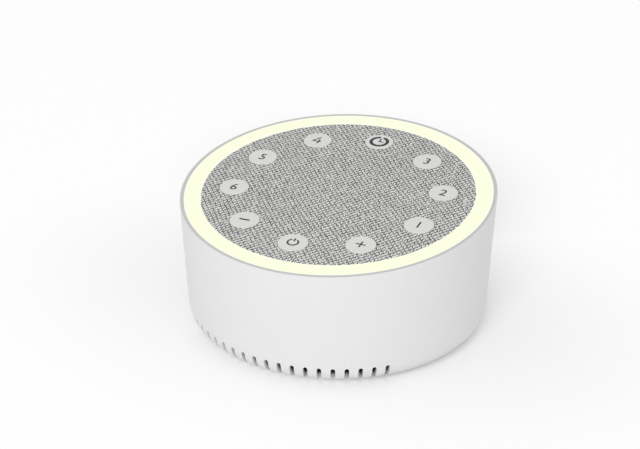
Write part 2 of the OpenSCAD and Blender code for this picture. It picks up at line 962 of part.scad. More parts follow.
// Place on the main board, as shares of its length and width from its middle
function on_board(along, across) = [along * main_board_l, main_y + across * main_board_w, main_top];

module main_board() {
    color([0.1, 0.35, 0.2])
        difference() {
            translate([0, main_y, main_z])
                block([main_board_l, main_board_w, board_t]);
            main_board_corners()
                translate([0, 0, main_z - past])
                    cylinder(h = board_t + 2 * past, r = screw_d / 2 + loose_fit);
        }
}

module main_board_screws() {
    color([0.7, 0.7, 0.72])
        main_board_corners()
            translate([0, 0, main_top])
                rotate([180, 0, 0])
                    screw(board_t + main_post_h);
}

module processor_chip() {
    side = 10;
    color([0.12, 0.12, 0.13])
        translate(on_board(-0.125, -0.135))
            union() {
                translate([0, 0, 0.2])
                    block([side, side, 1.2]);
                for (a = [0, 90, 180, 270], i = [-5 : 5])
                    rotate([0, 0, a])
                        translate([side / 2 - 0.2, i * 0.8 - 0.2, 0])
                            cube([1.4, 0.4, 0.4]);
            }
}

// Amplifier, memory, crystal and coil
module small_chips() {
    coil_side = 6.4;
    coil_h = 3;
    color([0.14, 0.14, 0.15]) {
        translate(on_board(0.19, -0.3))
            block([6, 5, 1.6]);
        translate(on_board(0.06, 0.135))
            block([5, 4, 1.5]);
        translate(on_board(-0.31, 0.135))
            block([5, 3.2, 1.1]);
        translate(on_board(-0.25, -0.36))
            difference() {
                block([coil_side, coil_side, coil_h]);
                translate([0, 0, coil_h * 2 / 3])
                    cylinder(h = coil_h, r = coil_side / 3);
            }
    }
}

module capacitors() {
    color([0.75, 0.76, 0.78]) {
        translate(on_board(0.33, -0.32))
            capacitor(4, 9);
        translate(on_board(0.19, 0.3))
            capacitor(3.15, 7.7);
        translate(on_board(-0.2, 0.34))
            capacitor(3.15, 7.7);
    }
}

module capacitor(radius, height) {
    union() {
        block([2 * radius + 0.3, 2 * radius + 0.3, 1]);
        cylinder(h = height, r = radius);
    }
}

// Sockets for the speaker's wires, the power wires and the ribbon's two ends
module board_headers() {
    color([0.9, 0.88, 0.82]) {
        translate([speaker_header_x, 0, main_top])
            block([header_w, header_l, header_h]);
        translate([0, power_header_y, main_top])
            block([header_l, header_w, header_h]);
        translate([ribbon_base_x, 0, main_top])
            block(ribbon_plug);
        top_frame()
            translate([ribbon_x, 0, board_bottom - ribbon_plug_h])
                block(ribbon_plug);
    }
}

module ribbon_cable() {
    steps = 16;
    sway = 3;
    top_z = upright_z(board_bottom - ribbon_plug_h, -ribbon_w / 2);
    low_z = main_top + ribbon_plug_h;
    path = [for (i = [0 : steps])
        let (s = i / steps)
            [ribbon_x + (ribbon_base_x - ribbon_x) * s + sway * sin(360 * s), top_z + (low_z - top_z) * s]];
    color([0.85, 0.85, 0.83])
        translate([0, ribbon_w / 2, 0])
            rotate([90, 0, 0])
                linear_extrude(ribbon_w)
                    polygon(concat(path, [for (i = [steps : -1 : 0]) path[i] + [ribbon_t, 0]]));
}

// Height above the ground of a level of the tilted frame, at a place y
function upright_z(level, y) = axis_h + level / cos(top_slope) + y * tan(top_slope);

module speaker_wires() {
    lug_level = terminal_z + lug_lift;
    low_z = main_top + header_h;
    color([0.7, 0.15, 0.12])
        for (side = [-1, 1]) {
            high_y = side * wire_gap * cos(top_slope) - lug_level * sin(top_slope);
            high_z = upright_z(lug_level, high_y - wire_r);
            wire([
                [terminal_r, high_y, high_z],
                [terminal_r, high_y, high_z - wire_slack],
                [speaker_header_x, side * wire_gap, low_z + wire_slack],
                [speaker_header_x, side * wire_gap, low_z]], wire_r);
        }
}

module power_wires() {
    start_y = pocket_y - usb_board_l + 1.5;
    low_z = main_top + header_h;
    color([0.15, 0.15, 0.16])
        for (side = [-1, 1])
            wire([
                [side * wire_gap, start_y, usb_board_top],
                [side * wire_gap, start_y, usb_board_top + wire_slack],
                [side * wire_gap, power_header_y, low_z + wire_slack],
                [side * wire_gap, power_header_y, low_z]], wire_r);
}

// ---------- power inlet ----------

module usb_board() {
    color([0.1, 0.35, 0.2])
        difference() {
            translate([-usb_board_w / 2, pocket_y - usb_board_l - fit, usb_shelf_top])
                cube([usb_board_w, usb_board_l, board_t]);
            for (x = [-1, 1])
                translate([x * usb_screw_x, usb_screw_y, usb_shelf_top - past])
                    cylinder(h = board_t + 2 * past, r = screw_d / 2 + loose_fit);
        }
}

module usb_board_screws() {
    color([0.7, 0.7, 0.72])
        for (x = [-1, 1])
            translate([x * usb_screw_x, usb_screw_y, usb_board_top])
                rotate([180, 0, 0])
                    screw(board_t + usb_shelf_t);
}

module usb_socket() {
    mouth_y = pocket_y + pocket_wall;
    color([0.75, 0.75, 0.77])
        translate([0, mouth_y, usb_mid_z])
            rotate([90, 0, 0])
                difference() {
                    linear_extrude(shell_l)
                        rounded_slot(shell_w, shell_h, shell_h / 2);
                    translate([0, 0, -past])
                        linear_extrude(shell_l)
                            rounded_slot(shell_w - 2 * shell_t, shell_h - 2 * shell_t, shell_h / 2);
                }
}

module usb_tongue() {
    mouth_y = pocket_y + pocket_wall;
    tongue_t = 0.7;
    side = 1.2;
    length = shell_l - 1.6;
    color([0.1, 0.1, 0.1])
        translate([-shell_w / 2 + side, mouth_y - shell_l + past, usb_mid_z - tongue_t / 2])
            cube([shell_w - 2 * side, length, tongue_t]);
}

// ---------- base ----------

module base_cover() {
    color([0.3, 0.3, 0.31])
        difference() {
            union() {
                translate([0, 0, base_z])
                    cylinder(h = cover_t, r = cover_r);
                around(pillar_angles, pillar_ring_r)
                    translate([0, 0, base_z])
                        cylinder(h = pillar_z - base_z, r = well_boss_r);
                main_board_corners()
                    translate([0, 0, base_z])
                        cylinder(h = main_z - base_z, r = main_post_r);
            }
            around(pillar_angles, pillar_ring_r)
                translate([0, 0, base_z - past])
                    union() {
                        cylinder(h = cover_t + past, r = well_r);
                        cylinder(h = pillar_z - base_z + 2 * past, r = screw_d / 2 + loose_fit);
                    }
            main_board_corners()
                translate([0, 0, main_z - screw_bite_low])
                    cylinder(h = screw_bite_low + past, r = screw_d / 2 + screw_fit);
            around(foot_angles, foot_ring_r)
                translate([0, 0, base_z - past])
                    cylinder(h = foot_in + past, r = foot_d / 2 + fit);
        }
}

module base_screws() {
    color([0.7, 0.7, 0.72])
        around(pillar_angles, pillar_ring_r)
            translate([0, 0, cover_top])
                screw(pillar_z - cover_top + base_screw_bite);
}

module feet() {
    edge = 0.4;
    color([0.25, 0.25, 0.25])
        around(foot_angles, foot_ring_r)
            union() {
                cylinder(h = edge, r1 = foot_d / 2 - edge, r2 = foot_d / 2);
                translate([0, 0, edge])
                    cylinder(h = foot_h + foot_in - edge, r = foot_d / 2);
            }
}

housing();
rim_ring();
light_diffuser();
light_reflector();
leds();
fabric_cover();
top_plate();
button_cap(0);  // button_power
button_cap(1);  // button_plus
button_cap(2);  // button_sound_1
button_cap(3);  // button_sound_2
button_cap(4);  // button_sound_3
button_cap(5);  // button_timer
button_cap(6);  // button_sound_4
button_cap(7);  // button_sound_5
button_cap(8);  // button_sound_6
button_cap(9);  // button_minus
switch_plunger(0);  // plunger_power
switch_plunger(1);  // plunger_plus
switch_plunger(2);  // plunger_sound_1
switch_plunger(3);  // plunger_sound_2
switch_plunger(4);  // plunger_sound_3
switch_plunger(5);  // plunger_timer
switch_plunger(6);  // plunger_sound_4
switch_plunger(7);  // plunger_sound_5
switch_plunger(8);  // plunger_sound_6
switch_plunger(9);  // plunger_minus
switch_bodies();
control_board();
control_board_screws();
plate_screws();
speaker_gasket();
speaker_frame();
speaker_surround();
speaker_cone();
dust_cap();
voice_coil();
spider();
magnet_front_plate();
magnet();
magnet_yoke();
speaker_terminal();
speaker_screws();
main_board();
main_board_screws();
processor_chip();
small_chips();
capacitors();
board_headers();
ribbon_cable();
speaker_wires();
power_wires();
usb_board();
usb_board_screws();
usb_socket();
usb_tongue();
base_cover();
base_screws();
feet();
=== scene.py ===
import json
import math
import bmesh
import bpy
import numpy as np
from mathutils import Matrix, Vector


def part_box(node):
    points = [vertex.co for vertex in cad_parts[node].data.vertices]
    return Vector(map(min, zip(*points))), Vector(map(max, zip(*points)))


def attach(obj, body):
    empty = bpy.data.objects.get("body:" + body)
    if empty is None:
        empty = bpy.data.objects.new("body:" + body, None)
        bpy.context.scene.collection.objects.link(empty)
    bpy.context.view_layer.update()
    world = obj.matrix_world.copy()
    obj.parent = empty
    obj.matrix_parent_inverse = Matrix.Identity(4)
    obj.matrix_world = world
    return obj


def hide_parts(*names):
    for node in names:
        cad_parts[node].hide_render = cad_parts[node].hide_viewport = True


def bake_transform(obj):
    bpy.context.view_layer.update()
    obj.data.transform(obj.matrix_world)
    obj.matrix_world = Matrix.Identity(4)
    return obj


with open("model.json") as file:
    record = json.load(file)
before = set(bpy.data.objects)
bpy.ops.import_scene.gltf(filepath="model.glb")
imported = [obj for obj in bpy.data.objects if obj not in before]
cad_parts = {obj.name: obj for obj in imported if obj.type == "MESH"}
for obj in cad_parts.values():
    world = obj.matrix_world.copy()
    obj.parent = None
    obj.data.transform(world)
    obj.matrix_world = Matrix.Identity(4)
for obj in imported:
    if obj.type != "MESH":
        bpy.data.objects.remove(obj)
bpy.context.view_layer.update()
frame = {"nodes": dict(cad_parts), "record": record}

nodes = frame["nodes"]
mm = 0.001

# The slanted top face: everything on it is laid out flat and then carried up by this matrix
topFace = {"axisHeight": 51.7 * mm, "slope": math.radians(4.9)}
topMatrix = Matrix.Translation((0, 0, topFace["axisHeight"])) @ Matrix.Rotation(topFace["slope"], 4, "X")

print("stage 1: frame loaded,", len(nodes), "nodes")


# Helpers for node trees: a socket takes another node's output or a constant
def feed(tree, socket, value):
    if isinstance(value, bpy.types.NodeSocket):
        tree.links.new(value, socket)
    else:
        socket.default_value = value


def addNode(tree, kind, settings=None, **inputs):
    node = tree.nodes.new("ShaderNode" + kind)
    for name, value in (settings or {}).items():
        setattr(node, name, value)
    for name, value in inputs.items():
        numbered = name[0] == "i" and name[1:].isdigit()  # i0, i1 and so on go by place, others by name
        feed(tree, node.inputs[int(name[1:]) if numbered else name.replace("_", " ")], value)
    return node


def calc(tree, operation, a, b=0.0, c=0.0, clamp=False):
    return addNode(tree, "Math", {"operation": operation, "use_clamp": clamp}, i0=a, i1=b, i2=c).outputs[0]


def remap(tree, value, fromLow, fromHigh, toLow, toHigh):
    return addNode(tree, "MapRange", {"clamp": True}, Value=value, From_Min=fromLow, From_Max=fromHigh,
                   To_Min=toLow, To_Max=toHigh).outputs[0]


# The value's distance from its middle, times the spread, on top of the base
def vary(tree, value, spread, base, middle=0.5, clamp=False):
    return calc(tree, "MULTIPLY_ADD", calc(tree, "SUBTRACT", value, middle), spread, base, clamp)


def cosine(tree, value, halfTurns):
    return calc(tree, "COSINE", calc(tree, "MULTIPLY", value, halfTurns * math.pi))


def lengthOf(tree, a, b):
    return calc(tree, "SQRT", calc(tree, "ADD", calc(tree, "POWER", a, 2.0), calc(tree, "POWER", b, 2.0)))


def blendValue(tree, mask, first, second):
    return addNode(tree, "Mix", None, Factor=mask, i2=first, i3=second).outputs[0]


def blendColor(tree, mask, first, second):
    node = addNode(tree, "Mix", {"data_type": "RGBA"}, Factor=mask)
    for socket, color in ((node.inputs[6], first), (node.inputs[7], second)):
        feed(tree, socket, color if isinstance(color, bpy.types.NodeSocket) else (*color[:3], 1))
    return node.outputs[2]


def scaleColor(tree, color, factor):
    return addNode(tree, "VectorMath", {"operation": "SCALE"}, i0=color, Scale=factor).outputs[0]


def objectPlace(tree):
    return addNode(tree, "TexCoord").outputs["Object"]


def splitPlace(tree, place):
    return addNode(tree, "SeparateXYZ", None, Vector=place).outputs[:3]


def joinPlace(tree, x, y, z=0.0):
    return addNode(tree, "CombineXYZ", None, X=x, Y=y, Z=z).outputs[0]


def noise(tree, place, scale, detail):
    return addNode(tree, "TexNoise", None, Vector=place, Scale=scale, Detail=detail).outputs["Fac"]


# Each surface effect is a node group that gives a colour, a roughness and a height
def openGroup(name, inputs):
    tree = bpy.data.node_groups.new(name, "ShaderNodeTree")
    for label, value in inputs.items():
        kind = "NodeSocketColor" if isinstance(value, tuple) else "NodeSocketFloat"
        tree.interface.new_socket(label, in_out="INPUT", socket_type=kind).default_value = value
    for label, kind in (("Color", "NodeSocketColor"), ("Roughness", "NodeSocketFloat"),
                        ("Height", "NodeSocketFloat")):
        tree.interface.new_socket(label, in_out="OUTPUT", socket_type=kind)
    return tree, tree.nodes.new("NodeGroupInput").outputs, objectPlace(tree)


def closeGroup(tree, color, roughness, height):
    result = tree.nodes.new("NodeGroupOutput")
    for label, value in (("Color", color), ("Roughness", roughness), ("Height", height)):
        tree.links.new(value, result.inputs[label])
    return tree


# Moulded plastic or rubber: fine grain, a faint mottle in the colour, and uneven gloss
mouldedLook = {"grainDetail": 3.0, "mottleScale": 90.0, "mottleDetail": 2.0}


def makeMouldedGroup():
    tree, given, place = openGroup("mouldedSurface", {
        "Tint": (0.8, 0.8, 0.8, 1), "Grain Size": 0.4 * mm, "Mottle": 0.03, "Roughness": 0.4,
        "Gloss Spread": 0.06})
    fine = noise(tree, place, calc(tree, "DIVIDE", 1.0, given["Grain Size"]), mouldedLook["grainDetail"])
    broad = noise(tree, place, mouldedLook["mottleScale"], mouldedLook["mottleDetail"])
    color = scaleColor(tree, given["Tint"], vary(tree, broad, given["Mottle"], 1.0))
    roughness = vary(tree, fine, given["Gloss Spread"], given["Roughness"], clamp=True)
    return closeGroup(tree, color, roughness, fine)


# Rolled or plated metal: hairlines along one axis and cloudy gloss
metalLook = {"lineDetail": 2.0, "cloudScale": 350.0, "cloudDetail": 3.0, "cloudSpread": 0.25}


def makeMetalGroup():
    tree, given, place = openGroup("rolledMetal", {
        "Tint": (0.6, 0.6, 0.6, 1), "Line Size": 0.1 * mm, "Line Stretch": 30.0, "Contrast": 0.25,
        "Roughness": 0.3})
    x, y, z = splitPlace(tree, place)
    pulled = joinPlace(tree, calc(tree, "DIVIDE", x, given["Line Stretch"]), y, z)
    lines = noise(tree, pulled, calc(tree, "DIVIDE", 1.0, given["Line Size"]), metalLook["lineDetail"])
    clouds = noise(tree, place, metalLook["cloudScale"], metalLook["cloudDetail"])
    color = scaleColor(tree, given["Tint"], vary(tree, lines, given["Contrast"], 1.0))
    roughness = vary(tree, clouds, metalLook["cloudSpread"], given["Roughness"], clamp=True)
    return closeGroup(tree, color, roughness, lines)


# Pressed paper, impregnated cloth and foam: short fibres lying across each other
fibreLook = {"pulls": ((0.2, 1.0), (1.0, 0.2)), "detail": 2.0, "middle": 0.55,
             "hollow": 0.3, "hollowRoughness": 0.95, "crest": 0.8, "crestRoughness": 0.7}


def makeFibreGroup():
    tree, given, place = openGroup("pressedFibre", {
        "Tint": (0.2, 0.2, 0.2, 1), "Fibre Size": 0.3 * mm, "Contrast": 0.5})
    x, y, z = splitPlace(tree, place)
    scale = calc(tree, "DIVIDE", 1.0, given["Fibre Size"])
    layers = []
    for alongX, alongY in fibreLook["pulls"]:
        laid = joinPlace(tree, calc(tree, "MULTIPLY", x, alongX), calc(tree, "MULTIPLY", y, alongY), z)
        layers.append(noise(tree, laid, scale, fibreLook["detail"]))
    fibres = calc(tree, "MAXIMUM", *layers)
    color = scaleColor(tree, given["Tint"], vary(tree, fibres, given["Contrast"], 1.0, fibreLook["middle"]))
    roughness = remap(tree, fibres, fibreLook["hollow"], fibreLook["crest"],
                      fibreLook["hollowRoughness"], fibreLook["crestRoughness"])
    return closeGroup(tree, color, roughness, fibres)


# Circuit board: solder mask over copper tracks, with bare tinned pads; rows and cells per track pitch
boardLook = {"trackRows": 0.25, "trackShift": 0.37, "trackSquash": 1.6, "squashEvery": 3, "trackWidth": 0.03,
             "trackBlur": 0.2, "trackTint": (0.10, 0.36, 0.19), "trackShow": 0.55, "trackHeight": 0.5,
             "padCells": 0.5, "padScatter": 0.8, "padReach": 0.12, "padBlurEnd": 0.14,
             "maskRoughness": 0.32, "padRoughness": 0.22}


def makeBoardGroup():
    tree, given, place = openGroup("circuitSurface", {
        "Mask Tint": (0.03, 0.16, 0.08, 1), "Pad Tint": (0.6, 0.6, 0.58, 1), "Track Pitch": 1.6 * mm})
    perMetre = calc(tree, "DIVIDE", 1.0, given["Track Pitch"])
    layout = {"offset": boardLook["trackShift"], "squash": boardLook["trackSquash"],
              "squash_frequency": boardLook["squashEvery"]}
    tracks = addNode(tree, "TexBrick", layout, Vector=place, Mortar_Size=boardLook["trackWidth"],
                     Mortar_Smooth=boardLook["trackBlur"],
                     Scale=calc(tree, "MULTIPLY", perMetre, boardLook["trackRows"])).outputs["Fac"]
    toPad = addNode(tree, "TexVoronoi", {"distance": "CHEBYCHEV"}, Vector=place,
                    Randomness=boardLook["padScatter"],
                    Scale=calc(tree, "MULTIPLY", perMetre, boardLook["padCells"])).outputs["Distance"]
    pads = remap(tree, toPad, boardLook["padReach"], boardLook["padBlurEnd"], 1.0, 0.0)
    mask = blendColor(tree, calc(tree, "MULTIPLY", tracks, boardLook["trackShow"]), given["Mask Tint"],
                      boardLook["trackTint"])
    roughness = remap(tree, pads, 0.0, 1.0, boardLook["maskRoughness"], boardLook["padRoughness"])
    height = calc(tree, "MULTIPLY_ADD", tracks, boardLook["trackHeight"], pads)
    return closeGroup(tree, blendColor(tree, pads, mask, given["Pad Tint"]), roughness, height)


effects = {"moulded": makeMouldedGroup(), "metal": makeMetalGroup(), "fibre": makeFibreGroup(),
           "board": makeBoardGroup()}
print("stage 2: surface effects built")


def newMaterial(name, **shaderValues):
    material = bpy.data.materials.new(name)
    material.use_nodes = True
    tree = material.node_tree
    shader = tree.nodes["Principled BSDF"]
    for label, value in shaderValues.items():
        shader.inputs[label.replace("_", " ")].default_value = value
    return material, tree, shader


def placeEffect(tree, shader, effect, bumpDepth, **values):
    group = tree.nodes.new("ShaderNodeGroup")
    group.node_tree = effects[effect]
    for label, value in values.items():
        socket = group.inputs[label.replace("_", " ")]
        socket.default_value = (*value, 1) if isinstance(value, tuple) else value
    bump = addNode(tree, "Bump", None, Height=group.outputs["Height"], Distance=bumpDepth, Strength=1.0)
    tree.links.new(group.outputs["Color"], shader.inputs["Base Color"])
    tree.links.new(group.outputs["Roughness"], shader.inputs["Roughness"])
    tree.links.new(bump.outputs["Normal"], shader.inputs["Normal"])


# Plastics and rubbers, by the slot of the record that each one dresses; depth is the grain's
plasticFinishes = {
    "shell": {"tint": (0.78, 0.78, 0.78), "grain": 0.25 * mm, "depth": 0.004 * mm,
              "mottle": 0.012, "roughness": 0.42},
    "rim": {"tint": (0.575, 0.575, 0.56), "grain": 0.2 * mm, "depth": 0.003 * mm,
            "mottle": 0.03, "roughness": 0.34},
    "reflector": {"tint": (0.86, 0.86, 0.84), "grain": 0.3 * mm, "depth": 0.006 * mm,
                  "mottle": 0.03, "roughness": 0.55},
    "dark_plastic": {"tint": (0.05, 0.05, 0.052), "grain": 0.3 * mm, "depth": 0.02 * mm,
                     "mottle": 0.15, "roughness": 0.6},
    "cap": {"tint": (0.74, 0.74, 0.73), "grain": 0.15 * mm, "depth": 0.002 * mm,
            "mottle": 0.015, "roughness": 0.45},
    "plunger": {"tint": (0.03, 0.03, 0.03), "grain": 0.2 * mm, "depth": 0.01 * mm,
                "mottle": 0.1, "roughness": 0.5},
    "chip": {"tint": (0.022, 0.022, 0.024), "grain": 0.12 * mm, "depth": 0.01 * mm,
             "mottle": 0.2, "roughness": 0.65},
    "header": {"tint": (0.78, 0.75, 0.64), "grain": 0.2 * mm, "depth": 0.006 * mm,
               "mottle": 0.06, "roughness": 0.45},
    "ribbon": {"tint": (0.66, 0.66, 0.64), "grain": 0.4 * mm, "depth": 0.01 * mm,
               "mottle": 0.08, "roughness": 0.5},
    "wire_red": {"tint": (0.45, 0.03, 0.02), "grain": 0.3 * mm, "depth": 0.01 * mm,
                 "mottle": 0.1, "roughness": 0.45},
    "wire_black": {"tint": (0.02, 0.02, 0.02), "grain": 0.3 * mm, "depth": 0.01 * mm,
                   "mottle": 0.1, "roughness": 0.45},
    "socket_tongue": {"tint": (0.015, 0.015, 0.015), "grain": 0.1 * mm, "depth": 0.004 * mm,
                      "mottle": 0.1, "roughness": 0.4},
    "base": {"tint": (0.085, 0.085, 0.09), "grain": 0.35 * mm, "depth": 0.03 * mm,
             "mottle": 0.12, "roughness": 0.62},
    "foot": {"tint": (0.04, 0.04, 0.04), "grain": 0.5 * mm, "depth": 0.04 * mm,
             "mottle": 0.25, "roughness": 0.85},
    "surround": {"tint": (0.018, 0.018, 0.018), "grain": 0.4 * mm, "depth": 0.01 * mm,
                 "mottle": 0.2, "roughness": 0.55},
    "lamp": {"tint": (0.92, 0.80, 0.30), "grain": 0.1 * mm, "depth": 0.002 * mm,
             "mottle": 0.08, "roughness": 0.25},
}

metalFinishes = {
    "switch": {"tint": (0.42, 0.42, 0.43), "line": 0.08 * mm, "stretch": 12.0,
               "depth": 0.004 * mm, "roughness": 0.35},
    "screw": {"tint": (0.55, 0.55, 0.57), "line": 0.06 * mm, "stretch": 3.0,
              "depth": 0.004 * mm, "roughness": 0.3},
    "basket": {"tint": (0.11, 0.11, 0.12), "line": 0.3 * mm, "stretch": 1.5,
               "depth": 0.01 * mm, "roughness": 0.5},
    "coil": {"tint": (0.62, 0.30, 0.12), "line": 0.1 * mm, "stretch": 1.0,
             "depth": 0.02 * mm, "roughness": 0.3},
    "pole_iron": {"tint": (0.5, 0.5, 0.52), "line": 0.1 * mm, "stretch": 20.0,
                  "depth": 0.006 * mm, "roughness": 0.35},
    "terminal": {"tint": (0.60, 0.45, 0.18), "line": 0.1 * mm, "stretch": 10.0,
                 "depth": 0.004 * mm, "roughness": 0.3},
    "can": {"tint": (0.66, 0.67, 0.69), "line": 0.07 * mm, "stretch": 25.0,
            "depth": 0.003 * mm, "roughness": 0.28},
    "socket_shell": {"tint": (0.62, 0.62, 0.64), "line": 0.08 * mm, "stretch": 25.0,
                     "depth": 0.003 * mm, "roughness": 0.25},
}

fibreFinishes = {
    "gasket": {"tint": (0.03, 0.03, 0.03), "fibre": 0.35 * mm, "depth": 0.08 * mm, "contrast": 1.2},
    "cone": {"tint": (0.035, 0.035, 0.037), "fibre": 0.5 * mm, "depth": 0.04 * mm, "contrast": 1.4},
    "spider": {"tint": (0.55, 0.38, 0.14), "fibre": 0.4 * mm, "depth": 0.05 * mm, "contrast": 1.0},
    "ferrite": {"tint": (0.045, 0.045, 0.05), "fibre": 0.25 * mm, "depth": 0.03 * mm, "contrast": 0.8},
}

boardFinish = {"mask": (0.02, 0.12, 0.055), "pad": (0.62, 0.60, 0.52), "pitch": 1.4 * mm, "depth": 0.03 * mm}
sharedFinish = {"plasticGlossSpread": 0.08, "metalContrast": 0.25}

materials = {}
for slot, finish in plasticFinishes.items():
    materials[slot], tree, shader = newMaterial(slot + "Plastic")
    placeEffect(tree, shader, "moulded", finish["depth"], Tint=finish["tint"], Grain_Size=finish["grain"],
                Mottle=finish["mottle"], Roughness=finish["roughness"],
                Gloss_Spread=sharedFinish["plasticGlossSpread"])
for slot, finish in metalFinishes.items():
    materials[slot], tree, shader = newMaterial(slot + "Metal", Metallic=1.0)
    placeEffect(tree, shader, "metal", finish["depth"], Tint=finish["tint"], Line_Size=finish["line"],
                Line_Stretch=finish["stretch"], Contrast=sharedFinish["metalContrast"],
                Roughness=finish["roughness"])
for slot, finish in fibreFinishes.items():
    materials[slot], tree, shader = newMaterial(slot + "Fibre")
    placeEffect(tree, shader, "fibre", finish["depth"], Tint=finish["tint"], Fibre_Size=finish["fibre"],
                Contrast=finish["contrast"])
materials["board"], tree, shader = newMaterial("boardLaminate")
placeEffect(tree, shader, "board", boardFinish["depth"], Mask_Tint=boardFinish["mask"],
            Pad_Tint=boardFinish["pad"], Track_Pitch=boardFinish["pitch"])


# Painted shade in the drum's wall: deeper than its skin the wall is painted dark, standing in for the shade
# inside the vent slots.
# Towards the back, round the inlet, it is left white all through
wallShade = {"axisRadius": 60.0 * mm, "draft": math.tan(math.radians(2.8)),
             "cornerRadius": 7.2 * mm, "cornerHeight": 8.0 * mm,
             "skin": 1.0 * mm, "blend": 1.65 * mm, "core": (0.15, 0.15, 0.15),
             "backFrom": 20 * mm, "backTo": 30 * mm}


def paintShadeInWall(material):
    tree = material.node_tree
    base = tree.nodes["Principled BSDF"].inputs["Base Color"]
    x, y, z = splitPlace(tree, objectPlace(tree))
    above = calc(tree, "MAXIMUM", z, wallShade["cornerHeight"])
    wallFoot = wallShade["axisRadius"] - topFace["axisHeight"] * wallShade["draft"]
    middle = calc(tree, "MULTIPLY_ADD", above, wallShade["draft"], wallFoot - wallShade["cornerRadius"])
    outward = calc(tree, "MAXIMUM", calc(tree, "SUBTRACT", lengthOf(tree, x, y), middle), 0.0)
    downward = calc(tree, "MINIMUM", calc(tree, "SUBTRACT", z, wallShade["cornerHeight"]), 0.0)
    depth = calc(tree, "SUBTRACT", wallShade["cornerRadius"], lengthOf(tree, outward, downward))
    mask = calc(tree, "MULTIPLY", remap(tree, depth, wallShade["skin"], wallShade["blend"], 0.0, 1.0),
                remap(tree, y, wallShade["backFrom"], wallShade["backTo"], 1.0, 0.0))
    tree.links.new(blendColor(tree, mask, base.links[0].from_socket, wallShade["core"]), base)


# painted shade inside the drum's wall, seen through the vent slots
paintShadeInWall(materials["shell"])


# The light ring: milky diffuser lit evenly from below, a touch paler along its edges
glowRing = {"body": (0.06, 0.06, 0.05, 1), "roughness": 0.5, "specular": 0.2,
            "tint": (0.955, 1.0, 0.745), "edgeTint": (0.98, 1.0, 0.85), "strength": 0.93,
            "inner": 52.1 * mm, "outer": 58.5 * mm, "edgeWidth": 0.6 * mm,
            "milkScale": 120.0, "milkDetail": 2.0, "milkLow": 0.3, "milkHigh": 0.7, "thinEdge": 0.8}


def makeGlowMaterial():
    material, tree, shader = newMaterial(
        "glowDiffuser", Base_Color=glowRing["body"], Roughness=glowRing["roughness"],
        Specular_IOR_Level=glowRing["specular"], Emission_Strength=glowRing["strength"])
    place = objectPlace(tree)
    x, y = splitPlace(tree, place)[:2]
    radius = lengthOf(tree, x, calc(tree, "MULTIPLY", y, 1 / math.cos(topFace["slope"])))
    fromInner = remap(tree, radius, glowRing["inner"], glowRing["inner"] + glowRing["edgeWidth"], 1.0, 0.0)
    fromOuter = remap(tree, radius, glowRing["outer"] - glowRing["edgeWidth"], glowRing["outer"], 0.0, 1.0)
    milk = remap(tree, noise(tree, place, glowRing["milkScale"], glowRing["milkDetail"]),
                 glowRing["milkLow"], glowRing["milkHigh"], glowRing["thinEdge"], 1.0)
    edge = calc(tree, "MULTIPLY", calc(tree, "MAXIMUM", fromInner, fromOuter), milk)
    glow = blendColor(tree, edge, glowRing["tint"], glowRing["edgeTint"])
    tree.links.new(glow, shader.inputs["Emission Color"])
    return material


materials["diffuser"] = makeGlowMaterial()


# Heathered cloth: which thread lies on top is worked out from the place, then each float gets
# its own tone, its own fibres and a rounded height; diagonal ridges (wales) run across the threads,
# in the relief and again in the tone as painted shade, lighter on their tops and darker between.
# Crown and droop are how far a float rounds off across and along, in half turns. The threads
# wander by waves: share of a pitch, waves per metre along x and y, start
clothWeave = {"pitchX": 1.0 * mm, "pitchY": 1.2 * mm, "skewX": 33.0, "skewY": -67.0,
              "waves": {"u": [(0.38, 7.0, 13.0, 0.4), (0.14, -21.0, 12.0, 2.1)],
                        "v": [(0.36, 12.0, -7.0, 1.3), (0.14, 11.0, 24.0, 4.0)]},
              "crown": 0.95, "droop": 0.8, "crimp": 0.10 * mm, "ridge": 0.06 * mm,
              "light": (1.0, 1.0, 0.985), "dark": (0.05, 0.05, 0.048),
              "gapShade": (0.06, 0.06, 0.06), "gapShadeEdge": 0.30, "middleTone": 0.56,
              "tones": {"ridge": 0.31, "counter": 0.42, "float": 0.10, "thread": 0.05, "fibre": 0.3,
                        "fleck": 0.12, "spark": 1.35, "crest": 0.36, "across": 0.12},
              "flecksPerThread": 1.9, "fibreTwist": 2.4, "fibresAlong": 5.0, "fibresAcross": 1.2,
              "fibreSeed": 37.0, "fibreDetail": 2.0, "warpSeed": 400.0,
              "ridgeRelief": 0.5, "fibreRelief": 0.35, "relief": 0.10 * mm,
              "roughness": 0.9, "specular": 0.2, "sheen": 0.15, "sheenRoughness": 0.5}


